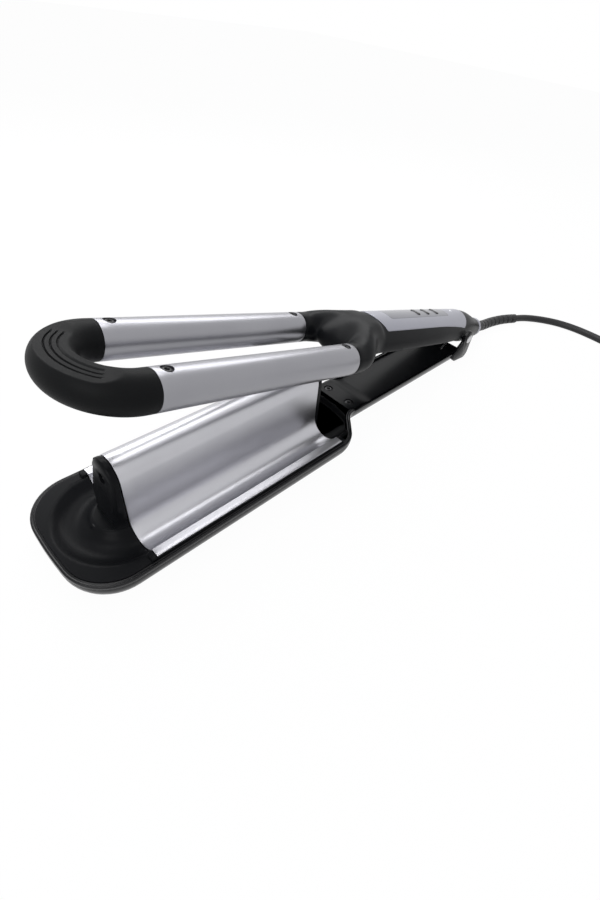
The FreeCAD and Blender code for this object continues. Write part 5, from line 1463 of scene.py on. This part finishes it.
    def _tie(self) -> bpy.types.Object:
        """Makes the strap round the coil's turns."""
        growth = self.coil_pitch / (2 * math.pi)
        spread = growth * self.coil_turns * 2 * math.pi / 4
        inner = self.coil_radius - spread - self.diameter / 2 - 0.5
        outer = self.coil_radius + spread + self.diameter / 2 + 0.5
        low = self.coil_centre.z - self.diameter / 2 - 0.1
        high = self.coil_centre.z + self.coil_layer + self.diameter / 2 + 0.3
        rings = []
        profile = ((0.05, 5.9), (0.7, 6.0), (0.75, 5.6), (0.75, -5.6), (0.7, -6.0), (0.05, -5.9))
        for grow, across in profile:
            r = self.diameter / 2 + grow
            corners = [(inner - grow, low - grow, r), (outer + grow, low - grow, r),
                       (outer + grow, high + grow, r), (inner - grow, high + grow, r)]
            rings.append([(x, across, z) for x, z in outline(corners, 10, 6)])
        rings.append(rings[0])
        bm = bmesh.new()
        add_loft(bm, rings, caps=False)
        bmesh.ops.remove_doubles(bm, verts=bm.verts, dist=1e-4)
        turn = Matrix.Rotation(math.radians(150), 4, "Z")
        move = Matrix.Translation(Vector((self.coil_centre.x, self.coil_centre.y, 0)))
        bmesh.ops.transform(bm, matrix=move @ turn, verts=bm.verts)
        return self._make_row(Piece("coil_strap", Body.CORD, FINISHES.rubber, False, ("coil_tie",)), bm)

    def _plug(self, start: Vector, heading: Vector) -> bpy.types.Object:
        """Makes the plug: a grip that swells into an oval body with a flat face."""
        side = Vector((0, 0, 1)).cross(heading).normalized()
        stations = [(0.0, 3.5, 3.5), (0.4, 4.3, 4.3)]
        for k in range(5):
            step, wider = 2.4 * k, 0.12 * k
            stations += [
                (1.2 + step, 4.4 + wider, 4.3 + wider), (2.8 + step, 4.4 + wider, 4.3 + wider),
                (3.0 + step, 4.0 + wider, 3.9 + wider), (3.4 + step, 4.0 + wider, 3.9 + wider),
            ]
        for k in range(1, 13):
            share = k / 12
            swell = math.sin(share * math.pi / 2)
            stations.append((13.4 + share * 21.5, 5.2 + (self.plug_width / 2 - 5.3) * swell,
                             5.0 + (self.plug_height / 2 - 5.1) * swell))
        end = self.plug_neck + self.plug_length
        stations += [(end - 3.0, self.plug_width / 2 - 0.1, self.plug_height / 2 - 0.1),
                     (end - 1.4, self.plug_width / 2 - 0.5, self.plug_height / 2 - 0.5),
                     (end - 0.3, self.plug_width / 2 - 1.5, self.plug_height / 2 - 1.5),
                     (end, self.plug_width / 2 - 2.3, self.plug_height / 2 - 2.3)]
        rings = []
        for distance, wide, high in stations:
            centre = start + heading * distance
            ring = []
            for i in range(56):
                turn = 2 * math.pi * i / 56
                ring.append(centre + side * (wide * math.cos(turn)) + Vector((0, 0, high * math.sin(turn))))
            rings.append(ring)
        bm = bmesh.new()
        add_loft(bm, rings)
        piece = Piece("mains_plug", Body.CORD, FINISHES.rubber, False, ("plug_body",), sharp=50.0)
        return self._make_row(piece, bm)

    def _pins(self, start: Vector, heading: Vector) -> bpy.types.Object:
        """Makes the plug's two round pins."""
        side = Vector((0, 0, 1)).cross(heading).normalized()
        bm = bmesh.new()
        for s in (1, -1):
            foot = start + heading * (self.plug_neck + self.plug_length - 0.2) + side * (9.5 * s)
            contact = [(0, 2.35), (17.4, 2.35), (18.5, 1.9), (19.0, 1.0), (19.1, 0.0)]
            add_turned(bm, foot, heading, contact, 32)
        return self._make_row(Piece("plug_contacts", Body.CORD, FINISHES.nickel, False, ("plug_pins",)), bm)


@dataclass
class InnerParts:
    """CAD nodes that stay as they are and only get their finish."""

    kept: tuple[tuple[str, Finish], ...] = (
        ("control_board", FINISHES.board),
        ("push_switches", FINISHES.button),
        ("heater_rod_far", FINISHES.ceramic),
        ("heater_rod_near", FINISHES.ceramic),
        ("heater_holders", FINISHES.ceramic),
        ("upper_leads", FINISHES.sleeve),
        ("supply_lead", FINISHES.sleeve),
        ("ridge_spreader", FINISHES.mill),
        ("ridge_heater", FINISHES.ceramic),
        ("heater_clamps", FINISHES.steel),
        ("heater_posts", FINISHES.ceramic),
        ("insulating_pad", FINISHES.fibre),
        ("plate_leads", FINISHES.sleeve),
        ("torsion_spring", FINISHES.spring),
    )

    def build(self) -> None:
        """Gives each kept node its finish."""
        for name, finish in self.kept:
            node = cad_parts[name]
            node.data.materials.clear()
            node.data.materials.append(MATERIALS.get(finish))
            node.data.shade_smooth()
            node.data.set_sharp_from_angle(angle=math.radians(30))


@dataclass
class Studio:
    """Camera, soft lights, pale floor and a white surround."""

    place: Point = (-0.21856, -0.15490, 0.21239)
    azimuth: float = math.radians(-50.93)
    elevation: float = math.radians(43.28)
    roll: float = math.radians(9.41)
    focal_px: float = 473.05
    floor_white: float = 0.97
    world_light: float = 0.45
    image_height: float = 900.0

    def build(self) -> None:
        """Makes the whole studio."""
        self._camera()
        self._floor()
        self._lights()
        self._world()
        bpy.context.scene.view_settings.view_transform = "Standard"

    def _camera(self) -> None:
        """Places the camera as the photograph's."""
        a, e = self.azimuth, self.elevation
        forward = Vector((-math.sin(a) * math.cos(e), math.cos(a) * math.cos(e), -math.sin(e)))
        right = forward.cross(Vector((0, 0, 1))).normalized()
        up = right.cross(forward)
        across = right * math.cos(self.roll) + up * math.sin(self.roll)
        upward = -right * math.sin(self.roll) + up * math.cos(self.roll)
        data = bpy.data.cameras.new("camera")
        data.sensor_fit = "VERTICAL"
        data.sensor_height = 36.0
        data.lens = self.focal_px * 36.0 / self.image_height
        data.clip_start = 0.01
        data.clip_end = 20.0
        camera = bpy.data.objects.new("camera", data)
        bpy.context.scene.collection.objects.link(camera)
        turn = Matrix((across, upward, -forward)).transposed().to_4x4()
        camera.matrix_world = Matrix.Translation(Vector(self.place)) @ turn
        bpy.context.scene.camera = camera

    def _floor(self) -> None:
        """Makes the pale floor, white to the camera and in reflections, with a faint shadow."""
        bm = bmesh.new()
        bmesh.ops.create_grid(bm, x_segments=1, y_segments=1, size=4.0)
        mesh = bpy.data.meshes.new("floor")
        bm.to_mesh(mesh)
        bm.free()
        floor = bpy.data.objects.new("floor", mesh)
        floor.location = (0.0, 0.0, -0.0002)
        bpy.context.scene.collection.objects.link(floor)
        material = bpy.data.materials.new("floor_white")
        material.use_nodes = True
        nodes, links = material.node_tree.nodes, material.node_tree.links
        shader = nodes["Principled BSDF"]
        shader.inputs["Base Color"].default_value = (0.86, 0.86, 0.87, 1.0)
        shader.inputs["Roughness"].default_value = 0.8
        shader.inputs["Specular IOR Level"].default_value = 0.1
        glow = nodes.new("ShaderNodeEmission")
        glow.inputs["Color"].default_value = (1.0, 1.0, 1.0, 1.0)
        glow.inputs["Strength"].default_value = 1.0
        path = nodes.new("ShaderNodeLightPath")
        share = nodes.new("ShaderNodeMath")
        share.operation = "MULTIPLY"
        share.inputs[1].default_value = self.floor_white
        links.new(self._seen(nodes, links, path), share.inputs[0])
        mix = nodes.new("ShaderNodeMixShader")
        links.new(share.outputs["Value"], mix.inputs["Fac"])
        links.new(shader.outputs["BSDF"], mix.inputs[1])
        links.new(glow.outputs["Emission"], mix.inputs[2])
        links.new(mix.outputs["Shader"], nodes["Material Output"].inputs["Surface"])
        mesh.materials.append(material)

    def _lights(self) -> None:
        """Makes the softboxes."""
        boxes = (
            ("top_box", (-0.05, 0.20, 0.9), (0.0, 0.0, 0.0), (1.0, 0.40), 4.0),
            ("key_box", (-0.75, -0.35, 0.55), (0.0, 0.0, 0.03), (0.5, 0.5), 2.5),
            ("back_strip", (0.30, 0.62, 0.60), (0.0, 0.0, 0.03), (1.3, 0.24), 5.5),
        )
        for name, place, target, size, power in boxes:
            data = bpy.data.lights.new(name, "AREA")
            data.shape = "RECTANGLE"
            data.size, data.size_y = size
            data.energy = power
            light = bpy.data.objects.new(name, data)
            light.location = place
            light.rotation_euler = (Vector(target) - Vector(place)).to_track_quat("-Z", "Y").to_euler()
            bpy.context.scene.collection.objects.link(light)

    @staticmethod
    def _seen(
        nodes: bpy.types.Nodes, links: bpy.types.NodeLinks, path: bpy.types.Node
    ) -> bpy.types.NodeSocket:
        """Returns 1 for the rays that show the background: camera, glossy and transmission."""
        found = path.outputs["Is Camera Ray"]
        for name in ("Is Glossy Ray", "Is Transmission Ray"):
            either = nodes.new("ShaderNodeMath")
            either.operation = "MAXIMUM"
            links.new(found, either.inputs[0])
            links.new(path.outputs[name], either.inputs[1])
            found = either.outputs["Value"]
        return found

    def _world(self) -> None:
        """Makes the surround: white to the camera and in reflections, softer as light."""
        world = bpy.data.worlds.new("surround")
        bpy.context.scene.world = world
        world.use_nodes = True
        nodes, links = world.node_tree.nodes, world.node_tree.links
        soft = nodes["Background"]
        soft.inputs["Color"].default_value = (0.92, 0.94, 1.0, 1.0)
        soft.inputs["Strength"].default_value = self.world_light
        white = nodes.new("ShaderNodeBackground")
        white.inputs["Color"].default_value = (1.0, 1.0, 1.0, 1.0)
        white.inputs["Strength"].default_value = 1.0
        path = nodes.new("ShaderNodeLightPath")
        mix = nodes.new("ShaderNodeMixShader")
        links.new(self._seen(nodes, links, path), mix.inputs["Fac"])
        links.new(soft.outputs["Background"], mix.inputs[1])
        links.new(white.outputs["Background"], mix.inputs[2])
        links.new(mix.outputs["Shader"], nodes["World Output"].inputs["Surface"])


def main() -> None:
    """Builds the scene."""
    logging.basicConfig(level=logging.INFO)
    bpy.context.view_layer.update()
    Studio().build()
    SupplyCord().build()
    Barrels().build()
    ForkHandle().build()
    ControlPanel().build()
    WavePlate().build()
    Tray().build()
    RidgeCaps().build()
    Hinge().build()
    InnerParts().build()


if __name__ == "__main__":
    main()
